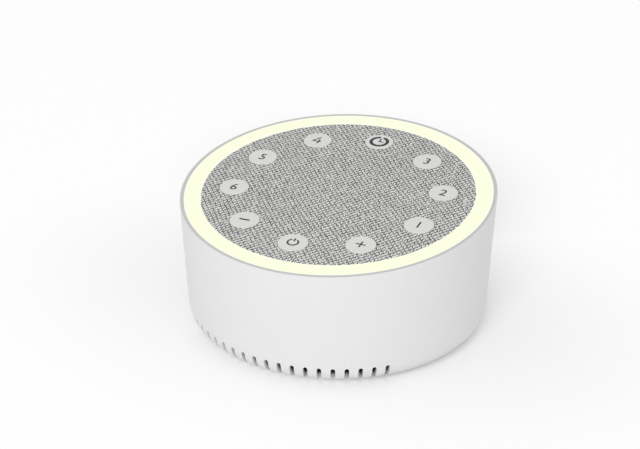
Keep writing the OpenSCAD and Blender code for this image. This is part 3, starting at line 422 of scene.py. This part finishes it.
def makeClothMaterial():
    material, tree, shader = newMaterial(
        "heatheredWeave", Roughness=clothWeave["roughness"], Specular_IOR_Level=clothWeave["specular"],
        Sheen_Weight=clothWeave["sheen"], Sheen_Roughness=clothWeave["sheenRoughness"])
    x, y = splitPlace(tree, objectPlace(tree))[:2]
    counts = []
    for name, a, pitch, b, skew in (("u", x, "pitchX", y, "skewX"), ("v", y, "pitchY", x, "skewY")):
        lean = calc(tree, "MULTIPLY", b, clothWeave[skew])
        count = calc(tree, "MULTIPLY_ADD", a, 1 / clothWeave[pitch], lean)
        for share, alongX, alongY, start in clothWeave["waves"][name]:
            phase = calc(tree, "MULTIPLY_ADD", x, 2 * math.pi * alongX,
                         calc(tree, "MULTIPLY_ADD", y, 2 * math.pi * alongY, start))
            count = calc(tree, "MULTIPLY_ADD", calc(tree, "SINE", phase), share, count)
        counts.append(count)
    u, v = counts
    column, row = calc(tree, "FLOOR", u), calc(tree, "FLOOR", v)
    acrossU = calc(tree, "SUBTRACT", calc(tree, "SUBTRACT", u, column), 0.5)
    acrossV = calc(tree, "SUBTRACT", calc(tree, "SUBTRACT", v, row), 0.5)
    # 1 where a warp thread lies on top, 0 where a weft thread does
    warpUp = calc(tree, "FLOORED_MODULO", calc(tree, "ADD", column, row), 2.0)
    # distance from the middle line of the thread on top, and the way along it
    fromMiddle = blendValue(tree, warpUp, acrossV, acrossU)
    along = blendValue(tree, warpUp, acrossU, acrossV)
    body = calc(tree, "MULTIPLY", cosine(tree, fromMiddle, clothWeave["crown"]),
                cosine(tree, along, clothWeave["droop"]))
    # tones: one for each float, one for each whole thread, and fine fibres twisted along it
    floatTone = addNode(tree, "TexWhiteNoise", {"noise_dimensions": "2D"},
                        Vector=joinPlace(tree, column, row)).outputs["Value"]
    thread = blendValue(tree, warpUp, row, calc(tree, "ADD", column, clothWeave["warpSeed"]))
    threadTone = addNode(tree, "TexWhiteNoise", {"noise_dimensions": "1D"}, W=thread).outputs["Value"]
    twisted = calc(tree, "SUBTRACT", along, calc(tree, "MULTIPLY", fromMiddle, clothWeave["fibreTwist"]))
    strand = joinPlace(tree, calc(tree, "MULTIPLY", twisted, clothWeave["fibresAlong"]),
                       calc(tree, "MULTIPLY", fromMiddle, clothWeave["fibresAcross"]),
                       calc(tree, "MULTIPLY", floatTone, clothWeave["fibreSeed"]))
    fibres = noise(tree, strand, 1.0, clothWeave["fibreDetail"])
    # ridges both ways over the threads (the one that also stands in the relief is painted shade, lighter on
    # its top), flecks in the yarn, and crests and sparks along the warp
    ridge = cosine(tree, calc(tree, "ADD", u, v), 1)
    counter = cosine(tree, calc(tree, "SUBTRACT", u, v), 1)
    fleckCells = addNode(tree, "TexVoronoi", {"voronoi_dimensions": "2D"}, Vector=joinPlace(tree, u, v),
                         Scale=clothWeave["flecksPerThread"])
    flecks, sparks = addNode(tree, "SeparateColor", None, Color=fleckCells.outputs["Color"]).outputs[:2]
    crest = cosine(tree, u, 2)
    layers = {"ridge": ridge, "counter": counter, "float": floatTone, "thread": threadTone, "fibre": fibres,
              "fleck": flecks, "spark": calc(tree, "MULTIPLY", calc(tree, "SUBTRACT", sparks, 0.5), crest),
              "crest": crest, "across": cosine(tree, v, 2)}
    tones = clothWeave["tones"]
    tone = clothWeave["middleTone"] - 0.5 * sum(tones[name] for name in ("float", "thread", "fibre", "fleck"))
    for name, layer in layers.items():
        tone = calc(tree, "MULTIPLY_ADD", layer, tones[name], tone)
    yarn = blendColor(tree, tone, clothWeave["dark"], clothWeave["light"])
    # painted shade: where a float's height falls low, in the gaps between threads, the yarn is painted dark
    depth = remap(tree, body, 0.0, clothWeave["gapShadeEdge"], 1.0, 0.0)
    tree.links.new(blendColor(tree, depth, yarn, clothWeave["gapShade"]), shader.inputs["Base Color"])
    height = calc(tree, "ADD", calc(tree, "MULTIPLY_ADD", ridge, clothWeave["ridgeRelief"], body),
                  calc(tree, "MULTIPLY", fibres, clothWeave["fibreRelief"]))
    bump = addNode(tree, "Bump", None, Height=height, Distance=clothWeave["relief"])
    tree.links.new(bump.outputs["Normal"], shader.inputs["Normal"])
    return material


materials["fabric"] = makeClothMaterial()

# Black print on the caps, matt and a little uneven, and gold plating on the inlet's contacts
capPrint = {"tint": (0.014, 0.014, 0.015), "grain": 0.08 * mm, "depth": 0.002 * mm, "mottle": 0.25,
            "roughness": 0.6, "glossSpread": 0.15}
contactGold = {"tint": (0.85, 0.62, 0.25), "line": 0.05 * mm, "stretch": 20.0, "depth": 0.002 * mm,
               "contrast": 0.15, "roughness": 0.25}

materials["print"], tree, shader = newMaterial("capPrint")
placeEffect(tree, shader, "moulded", capPrint["depth"], Tint=capPrint["tint"], Grain_Size=capPrint["grain"],
            Mottle=capPrint["mottle"], Roughness=capPrint["roughness"], Gloss_Spread=capPrint["glossSpread"])
materials["contact"], tree, shader = newMaterial("contactGold", Metallic=1.0)
placeEffect(tree, shader, "metal", contactGold["depth"], Tint=contactGold["tint"],
            Line_Size=contactGold["line"], Line_Stretch=contactGold["stretch"],
            Contrast=contactGold["contrast"], Roughness=contactGold["roughness"])

for part in frame["record"]["subparts"]:
    mesh = nodes[part["node"]].data
    mesh.materials.clear()
    mesh.materials.append(materials[part["material_slot"]])
print("stage 3: materials on all nodes")


def linkObject(name, mesh, material, matrix=None):
    piece = bpy.data.objects.new(name, mesh)
    bpy.context.scene.collection.objects.link(piece)
    mesh.materials.append(material)
    if matrix is not None:
        piece.matrix_world = matrix
    return piece


def meshFromBmesh(name, bm):
    mesh = bpy.data.meshes.new(name)
    bm.to_mesh(mesh)
    bm.free()
    return mesh


# The ten buttons stand on one circle of the top face, counted from the front
buttonRing = {"radius": 39.8 * mm, "count": 10, "step": 36.0, "first": -90.0,
              "holeRadius": 5.8 * mm, "capTop": 0.1 * mm}
buttonNames = ["power", "plus", "sound_1", "sound_2", "sound_3",
               "timer", "sound_4", "sound_5", "sound_6", "minus"]


def buttonCentre(i):
    angle = math.radians(buttonRing["first"] + buttonRing["step"] * i)
    return Vector((buttonRing["radius"] * math.cos(angle), buttonRing["radius"] * math.sin(angle)))


buttonCentres = [buttonCentre(i) for i in range(buttonRing["count"])]

# Cloth on the top face. Points nearer to an edge than a share of a step are moved onto it and flattened.
# The cut edges roll off in steps (shares of the roll outwards and down) and end in a skirt
clothSheet = {"radius": 51.93 * mm, "top": -0.10 * mm, "stepsPerThread": 4,
              "snapShare": 0.35, "snapHeight": 0.3, "weld": 0.02 * mm,
              "edgeRoll": 0.25 * mm, "holeRoll": 0.15 * mm,
              "rollSteps": ((0.55, 0.15), (0.9, 0.5), (1.0, 1.0)),
              "skirtLevel": -3.15 * mm, "holeSkirtLevel": -0.78 * mm,
              "turnedEdge": 3 * mm, "holeHem": 0.5 * mm}


# Warp and weft counts at places on the sheet
def threadCounts(x, y):
    counts = {"u": x / clothWeave["pitchX"] + y * clothWeave["skewX"],
              "v": y / clothWeave["pitchY"] + x * clothWeave["skewY"]}
    for name, waves in clothWeave["waves"].items():
        for share, alongX, alongY, start in waves:
            counts[name] = counts[name] + share * np.sin(2 * np.pi * (alongX * x + alongY * y) + start)
    return counts["u"], counts["v"]


def weaveHeight(u, v):
    column, row = np.floor(u), np.floor(v)
    a, b = u - column - 0.5, v - row - 0.5
    warpUp = np.mod(column + row, 2) > 0.5
    fromMiddle, along = np.where(warpUp, a, b), np.where(warpUp, b, a)
    body = np.cos(fromMiddle * np.pi * clothWeave["crown"]) * np.cos(along * np.pi * clothWeave["droop"])
    return clothWeave["crimp"] * (body - 0.5) + clothWeave["ridge"] * np.cos(np.pi * (u + v))


def makeClothMesh():
    stepX = clothWeave["pitchX"] / clothSheet["stepsPerThread"]
    stepY = clothWeave["pitchY"] / clothSheet["stepsPerThread"]
    outer = clothSheet["radius"] - clothSheet["edgeRoll"]
    hole = buttonRing["holeRadius"] + clothSheet["holeRoll"]
    countX, countY = math.ceil(outer / stepX) + 1, math.ceil(outer / stepY) + 1
    x, y = np.meshgrid(np.arange(-countX, countX + 1) * stepX, np.arange(-countY, countY + 1) * stepY)
    height = weaveHeight(*threadCounts(x, y))
    # how far each point is inside the cloth, and which circle is nearest
    inside = outer - np.hypot(x, y)
    centreX, centreY, circle = np.zeros_like(x), np.zeros_like(x), np.full_like(x, outer)
    for centre in buttonCentres:
        gap = np.hypot(x - centre.x, y - centre.y) - hole
        nearer = gap < inside
        inside = np.where(nearer, gap, inside)
        centreX, centreY, circle = (np.where(nearer, new, old) for new, old in
                                    ((centre.x, centreX), (centre.y, centreY), (hole, circle)))
    # points just outside, and those too close to the edge, are set on the circle itself
    onEdge = inside < clothSheet["snapShare"] * min(stepX, stepY)
    reach = np.hypot(x - centreX, y - centreY)
    x = np.where(onEdge, centreX + (x - centreX) * circle / reach, x)
    y = np.where(onEdge, centreY + (y - centreY) * circle / reach, y)
    height = np.where(onEdge, clothSheet["snapHeight"] * height, height)
    # a square stays where any of its corners lies within the cloth
    core = ~onEdge
    rows, columns = np.nonzero(core[:-1, :-1] | core[1:, :-1] | core[:-1, 1:] | core[1:, 1:])
    corners = ((rows, columns), (rows, columns + 1), (rows + 1, columns + 1), (rows + 1, columns))
    used = np.zeros(x.shape, bool)
    for corner in corners:
        used[corner] = True
    index = np.full(x.shape, -1)
    index[used] = np.arange(used.sum())
    points = np.stack([x[used], y[used], clothSheet["top"] + height[used]], axis=1)
    faces = np.stack([index[corner] for corner in corners], axis=1)
    mesh = bpy.data.meshes.new("clothSheet")
    mesh.from_pydata(points.tolist(), [], faces.tolist())
    return mesh


# The cut edges are rolled down over the plate's rim and into each button hole
def rollEdges(mesh):
    bm = bmesh.new()
    bm.from_mesh(mesh)
    bmesh.ops.remove_doubles(bm, verts=bm.verts, dist=clothSheet["weld"])
    rolls = [(Vector((0, 0)), clothSheet["radius"], clothSheet["edgeRoll"], clothSheet["skirtLevel"])]
    rolls += [(centre, buttonRing["holeRadius"], -clothSheet["holeRoll"], clothSheet["holeSkirtLevel"])
              for centre in buttonCentres]
    for middle, radius, roll, skirtLevel in rolls:
        cut = radius - roll
        edges = [edge for edge in bm.edges if edge.is_boundary and
                 all(abs((vert.co.xy - middle).length - cut) < clothSheet["weld"] for vert in edge.verts)]
        steps = [(outwards, clothSheet["top"] - abs(roll) * down)
                 for outwards, down in clothSheet["rollSteps"]]
        for outwards, level in steps + [(1.0, skirtLevel)]:
            grown = bmesh.ops.extrude_edge_only(bm, edges=edges)["geom"]
            edges = [geom for geom in grown if isinstance(geom, bmesh.types.BMEdge) and geom.is_boundary]
            for vert in {vert for edge in edges for vert in edge.verts}:
                away = (vert.co.xy - middle).normalized()
                vert.co.xy = middle + away * (cut + roll * outwards)
                vert.co.z = level
    bmesh.ops.recalc_face_normals(bm, faces=bm.faces)
    if sum(face.normal.z for face in bm.faces) < 0:
        bmesh.ops.reverse_faces(bm, faces=bm.faces)
    for face in bm.faces:
        face.smooth = True
    bm.to_mesh(mesh)
    bm.free()


clothMesh = makeClothMesh()
rollEdges(clothMesh)
cloth = linkObject("grilleCloth", clothMesh, materials["fabric"], topMatrix)
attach(cloth, "root")
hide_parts("fabric_cover")
print("stage 4: cloth with", len(clothMesh.polygons), "faces")


# Signs on the caps. A gap is the angle that a ring leaves open to each side of its top, in degrees,
# the clock's hands are shares of its radius, and sharpest limits how far a stroke's corner sticks out
signs = {"level": 0.025 * mm, "thickness": 0.04 * mm, "stroke": 0.68 * mm, "sharpest": 0.3,
         "ringRadius": 1.98 * mm, "ringGap": 38, "barTop": 2.32 * mm, "barFoot": 1.02 * mm,
         "plusReach": 1.94 * mm, "plusStroke": 0.59 * mm,
         "minusReach": 1.72 * mm, "minusStroke": 0.86 * mm, "minusTurn": math.radians(2.5),
         "clockRadius": 3.28 * mm, "clockGap": 20, "clockStroke": 1.3 * mm,
         "handUp": 0.62, "handRight": 0.45, "handStroke": 0.612 * mm,
         "digitSize": 6.0 * mm, "digitWeight": 0.03 * mm, "fontScale": 10,
         "fourArm": [(0.5 * mm, 2.4 * mm), (-1.6 * mm, -0.9 * mm), (1.7 * mm, -0.9 * mm)],
         "fourStem": [(0.8 * mm, 0.8 * mm), (0.8 * mm, -2.3 * mm)], "fourStroke": 0.54 * mm}


# The end of a stroke, from its left side round to its right
def roundEnd(centre, left, radius, steps=8):
    angle = math.atan2(left.y, left.x)
    turns = [angle - math.pi * k / steps for k in range(1, steps)]
    return [centre + radius * Vector((math.cos(turn), math.sin(turn))) for turn in turns]


# Outline of a line of even width through the points, with round ends
def strokeOutline(points, width):
    half = width / 2
    points = [Vector(point) for point in points]
    ways = [(b - a).normalized() for a, b in zip(points, points[1:])]
    left, right = [], []
    for i, point in enumerate(points):
        before, after = ways[max(i - 1, 0)], ways[min(i, len(ways) - 1)]
        way = (before + after).normalized()
        side = Vector((-way.y, way.x)) * half / max(way.dot(after), signs["sharpest"])
        left.append(point + side)
        right.append(point - side)
    return (left + roundEnd(points[-1], left[-1] - points[-1], half)
            + right[::-1] + roundEnd(points[0], right[0] - points[0], half))


def arcPoints(radius, fromAngle, toAngle, steps=40):
    angles = [math.radians(fromAngle + (toAngle - fromAngle) * k / steps) for k in range(steps + 1)]
    return [(radius * math.cos(angle), radius * math.sin(angle)) for angle in angles]


def outlineMesh(name, outlines):
    bm = bmesh.new()
    for outline in outlines:
        face = bm.faces.new([bm.verts.new((point[0], point[1], 0)) for point in outline])
        grown = bmesh.ops.extrude_face_region(bm, geom=[face])["geom"]
        for vert in (geom for geom in grown if isinstance(geom, bmesh.types.BMVert)):
            vert.co.z -= signs["thickness"]
    bmesh.ops.recalc_face_normals(bm, faces=bm.faces)
    return meshFromBmesh(name, bm)


# A digit in the built-in font, drawn enlarged and then scaled down, its top face at height 0
def digitMesh(name, digit):
    scale = signs["fontScale"]
    curve = bpy.data.curves.new(name, "FONT")
    curve.body = digit
    curve.align_x = curve.align_y = "CENTER"
    curve.size = signs["digitSize"] * scale
    curve.extrude = signs["thickness"] / 2 * scale
    curve.offset = signs["digitWeight"] * scale
    holder = bpy.data.objects.new(name, curve)
    bpy.context.scene.collection.objects.link(holder)
    mesh = bpy.data.meshes.new_from_object(holder.evaluated_get(bpy.context.evaluated_depsgraph_get()))
    bpy.data.objects.remove(holder)
    bpy.data.curves.remove(curve)
    mesh.transform(Matrix.Scale(1 / scale, 4))
    points = np.array([vert.co for vert in mesh.vertices])
    middle = (points.max(0) + points.min(0)) / 2
    mesh.transform(Matrix.Translation((-middle[0], -middle[1], -points[:, 2].max())))
    return mesh


def plusOutline(reach, width):
    half = width / 2
    arm = [(half, half), (half, reach), (-half, reach)]
    outline = []
    for turn in range(4):
        c, s = round(math.cos(turn * math.pi / 2)), round(math.sin(turn * math.pi / 2))
        outline += [(c * x - s * y, s * x + c * y) for x, y in arm]
    return outline


def signMesh(button):
    if button == "power":
        gap = signs["ringGap"]
        ring = strokeOutline(arcPoints(signs["ringRadius"], 90 + gap, 450 - gap), signs["stroke"])
        bar = strokeOutline([(0, signs["barTop"]), (0, signs["barFoot"])], signs["stroke"])
        return outlineMesh(button, [ring, bar])
    if button == "plus":
        return outlineMesh(button, [plusOutline(signs["plusReach"], signs["plusStroke"])])
    if button == "minus":
        end = signs["minusReach"] * Vector((math.cos(signs["minusTurn"]), math.sin(signs["minusTurn"])))
        return outlineMesh(button, [strokeOutline([-end, end], signs["minusStroke"])])
    if button == "sound_4":  # open at the top, so that the print doesn't close up
        lines = (signs["fourArm"], signs["fourStem"])
        return outlineMesh(button, [strokeOutline(line, signs["fourStroke"]) for line in lines])
    if button == "timer":
        radius, gap = signs["clockRadius"], signs["clockGap"]
        ring = strokeOutline(arcPoints(radius, 90 - gap, gap - 270), signs["clockStroke"])
        hands = [(0, signs["handUp"] * radius), (0, 0), (signs["handRight"] * radius, 0)]
        return outlineMesh(button, [ring, strokeOutline(hands, signs["handStroke"])])
    return digitMesh(button, button[-1])


for button, centre in zip(buttonNames, buttonCentres):
    place = Matrix.Translation((centre.x, centre.y, buttonRing["capTop"] + signs["level"]))
    sign = linkObject("sign_" + button, signMesh(button), materials["print"], topMatrix @ place)
    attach(sign, "cap_" + button)
print("stage 5: signs on", len(buttonNames), "caps")


# Gold contacts in a row on both faces of the inlet's tongue
contactRow = {"count": 12, "pitch": 0.5 * mm, "width": 0.27 * mm, "length": 3.4 * mm, "setBack": 0.5 * mm,
              "thickness": 0.06 * mm, "proud": 0.02 * mm, "bevel": 0.015 * mm}


def makeContacts():
    low, high = (Vector(corner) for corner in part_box("usb_tongue"))
    size = Matrix.Diagonal((contactRow["width"], contactRow["length"], contactRow["thickness"], 1))
    bm = bmesh.new()
    for level, side in ((high.z, 1), (low.z, -1)):
        for i in range(contactRow["count"]):
            place = Matrix.Translation((
                (low.x + high.x) / 2 + contactRow["pitch"] * (i - (contactRow["count"] - 1) / 2),
                high.y - contactRow["setBack"] - contactRow["length"] / 2,
                level + side * (contactRow["proud"] - contactRow["thickness"] / 2)))
            grown = bmesh.ops.create_cube(bm, size=1.0, matrix=place @ size)
            edges = {edge for vert in grown["verts"] for edge in vert.link_edges}
            bmesh.ops.bevel(bm, geom=list(edges), offset=contactRow["bevel"], segments=1, affect="EDGES")
    return linkObject("tongueContacts", meshFromBmesh("tongueContacts", bm), materials["contact"])


contacts = makeContacts()
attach(contacts, "root")
print("stage 6: contacts in the socket")


# The speaker's soft rings: the cone carries their inner edges, the basket their outer ones.
# Each ring is built as a row of sectors
surroundRoll = {"sectors": 16, "slices": 6, "innerEdge": 17.6 * mm, "outerEdge": 24.03 * mm,
                "seat": -5.2 * mm, "thickness": 0.4 * mm,
                "rollMiddle": 20.603 * mm, "rollRadius": 1.853 * mm, "rollSteps": 16}
spiderDisc = {"sectors": 8, "slices": 10, "innerEdge": 7.32 * mm, "outerEdge": 18.3 * mm,
              "seat": -13.2 * mm, "thickness": 0.35 * mm, "gluedEdge": 0.3 * mm,
              "waveEdge": 16.6 * mm, "waves": 3, "waveHeight": 0.7 * mm, "waveSteps": 36}
sharpFrom = math.radians(40)  # edges that turn by more stay sharp


def rollSides():
    ring = surroundRoll
    bottom, top = ring["seat"], ring["seat"] + ring["thickness"]
    middle = (bottom + top) / 2
    sides = []
    for level, radius in ((top, ring["rollRadius"] - ring["thickness"]), (bottom, ring["rollRadius"])):
        first = math.asin((level - middle) / radius)  # where the half circle leaves the flat edge
        turns = [math.pi - first + (math.pi + 2 * first) * i / ring["rollSteps"]
                 for i in range(ring["rollSteps"] + 1)]
        roll = [(ring["rollMiddle"] + radius * math.cos(turn), middle + radius * math.sin(turn))
                for turn in turns]
        sides.append([(ring["innerEdge"], level)] + roll + [(ring["outerEdge"], level)])
    return sides


def waveSides():
    ring = spiderDisc
    waved = []
    for i in range(ring["waveSteps"] + 1):
        share = i / ring["waveSteps"]
        radius = ring["innerEdge"] + (ring["waveEdge"] - ring["innerEdge"]) * share
        lift = ring["waveHeight"] * (1 - math.cos(2 * math.pi * ring["waves"] * share)) / 2
        waved.append((radius, ring["seat"] + lift))
    waved.append((ring["outerEdge"], ring["seat"]))
    return [(r, z + ring["thickness"]) for r, z in waved], waved


# A sector of the ring whose upper and lower sides are given as rows of radius and height
def sectorMesh(name, upper, lower, fromAngle, toAngle, slices):
    bm = bmesh.new()
    rows = []
    for k in range(slices + 1):
        angle = fromAngle + (toAngle - fromAngle) * k / slices
        c, s = math.cos(angle), math.sin(angle)
        rows.append([bm.verts.new((r * c, r * s, z)) for r, z in upper + lower[::-1]])
    count = len(rows[0])
    for first, second in zip(rows, rows[1:]):
        for i in range(count):
            bm.faces.new((first[i], first[i - 1], second[i - 1], second[i]))
    for row in (rows[0], rows[-1]):  # the cut ends
        for i in range(len(upper) - 1):
            bm.faces.new((row[i], row[i + 1], row[count - 2 - i], row[count - 1 - i]))
    bmesh.ops.recalc_face_normals(bm, faces=bm.faces)
    for face in bm.faces:
        face.smooth = True
    mesh = meshFromBmesh(name, bm)
    mesh.set_sharp_from_angle(angle=sharpFrom)
    return mesh


# Each sector of the ring is built on the top face, the CAD part is hidden, and the sector's place is baked
# into its mesh
def makeSoftRing(name, ring, sides, node, slot):
    half = math.pi / ring["sectors"]
    for i in range(ring["sectors"]):
        middle = 2 * half * i
        mesh = sectorMesh(name, *sides, middle - half, middle + half, ring["slices"])
        piece = linkObject("%s_%d" % (name, i + 1), mesh, materials[slot], topMatrix)
        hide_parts(node)
        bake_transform(piece)


makeSoftRing("surround", surroundRoll, rollSides(), "speaker_surround", "surround")
makeSoftRing("spider", spiderDisc, waveSides(), "spider", "spider")
print("stage 7: soft rings of the speaker")


# The floor's shadow thins out to white over two ovals around the object, and stays where either one holds it
studio = {"floorTint": (0.97, 0.97, 0.97, 1), "floorRoughness": 0.9, "floorSpecular": 0.1, "floorReach": 6.0,
          "ovals": [{"middle": (0.0026, 0.0024, 0), "turn": 1.531, "stretch": 1.466, "reach": 0.118},
                    {"middle": (-0.0348, 0.103, 0), "turn": 1.383, "stretch": 1.092, "reach": 0.1}],
          "farWhite": 0.927, "worldStrength": 0.66,
          "keyPlace": (0.14, -0.88, 0.75), "keyTarget": (0, 0, 0.03), "keySize": 0.5, "keyPower": 4.65}


# 1 for the rays that look at the background, straight or by way of metal and glass
def lookingRays(tree):
    path = addNode(tree, "LightPath")
    return calc(tree, "MAXIMUM", path.outputs["Is Camera Ray"],
                calc(tree, "MAXIMUM", path.outputs["Is Glossy Ray"], path.outputs["Is Transmission Ray"]))


def whiteOutside(tree, place, oval):
    laid = addNode(tree, "Mapping", {"vector_type": "TEXTURE"}, Vector=place, Location=oval["middle"],
                   Rotation=(0, 0, oval["turn"]), Scale=(1, oval["stretch"], 1))
    distance = addNode(tree, "VectorMath", {"operation": "LENGTH"}, i0=laid.outputs[0]).outputs["Value"]
    return addNode(tree, "MapRange", {"interpolation_type": "SMOOTHSTEP"}, Value=distance,
                   From_Max=oval["reach"], To_Max=studio["farWhite"]).outputs[0]


def makeFloor():
    material, tree, shader = newMaterial("paleFloor", Base_Color=studio["floorTint"],
                                         Roughness=studio["floorRoughness"],
                                         Specular_IOR_Level=studio["floorSpecular"])
    place = objectPlace(tree)
    fade = calc(tree, "MINIMUM", *(whiteOutside(tree, place, oval) for oval in studio["ovals"]))
    white = addNode(tree, "Emission", None, Color=(1, 1, 1, 1), Strength=1.0)
    mixed = addNode(tree, "MixShader", None, i0=calc(tree, "MULTIPLY", fade, lookingRays(tree)),
                    i1=shader.outputs[0], i2=white.outputs[0])
    tree.links.new(mixed.outputs[0], tree.nodes["Material Output"].inputs["Surface"])
    mesh = bpy.data.meshes.new("floor")
    reach = studio["floorReach"]
    mesh.from_pydata([(-reach, -reach, 0), (reach, -reach, 0), (reach, reach, 0), (-reach, reach, 0)], [],
                     [(0, 1, 2, 3)])
    return linkObject("floor", mesh, material)


makeFloor()


def makeWorld():
    world = bpy.data.worlds.new("softWhite")
    bpy.context.scene.world = world
    world.use_nodes = True
    tree = world.node_tree
    background = tree.nodes["Background"]
    background.inputs["Color"].default_value = (1, 1, 1, 1)
    strength = remap(tree, lookingRays(tree), 0.0, 1.0, studio["worldStrength"], 1.0)
    tree.links.new(strength, background.inputs["Strength"])


# A lamp or a camera that stands at a place and looks at another
def addLooking(name, data, place, target):
    looking = bpy.data.objects.new(name, data)
    bpy.context.scene.collection.objects.link(looking)
    looking.location = place
    looking.rotation_euler = (Vector(target) - Vector(place)).to_track_quat("-Z", "Y").to_euler()
    return looking


makeWorld()
keyData = bpy.data.lights.new("keyLight", "AREA")
keyData.shape, keyData.size, keyData.energy = "DISK", studio["keySize"], studio["keyPower"]
addLooking("keyLight", keyData, studio["keyPlace"], studio["keyTarget"])

shot = {"place": (0.24173, -0.54003, 0.34337), "target": (-0.006212, -0.002868, 0.03691),
        "lens": 98.05, "sensor": 36.0, "nearest": 0.01}

cameraData = bpy.data.cameras.new("shotCamera")
cameraData.lens, cameraData.sensor_width = shot["lens"], shot["sensor"]
cameraData.clip_start = shot["nearest"]
bpy.context.scene.camera = addLooking("shotCamera", cameraData, shot["place"], shot["target"])
bpy.context.scene.view_settings.view_transform = "Standard"
print("stage 8: floor, light and camera")

bpy.context.view_layer.update()
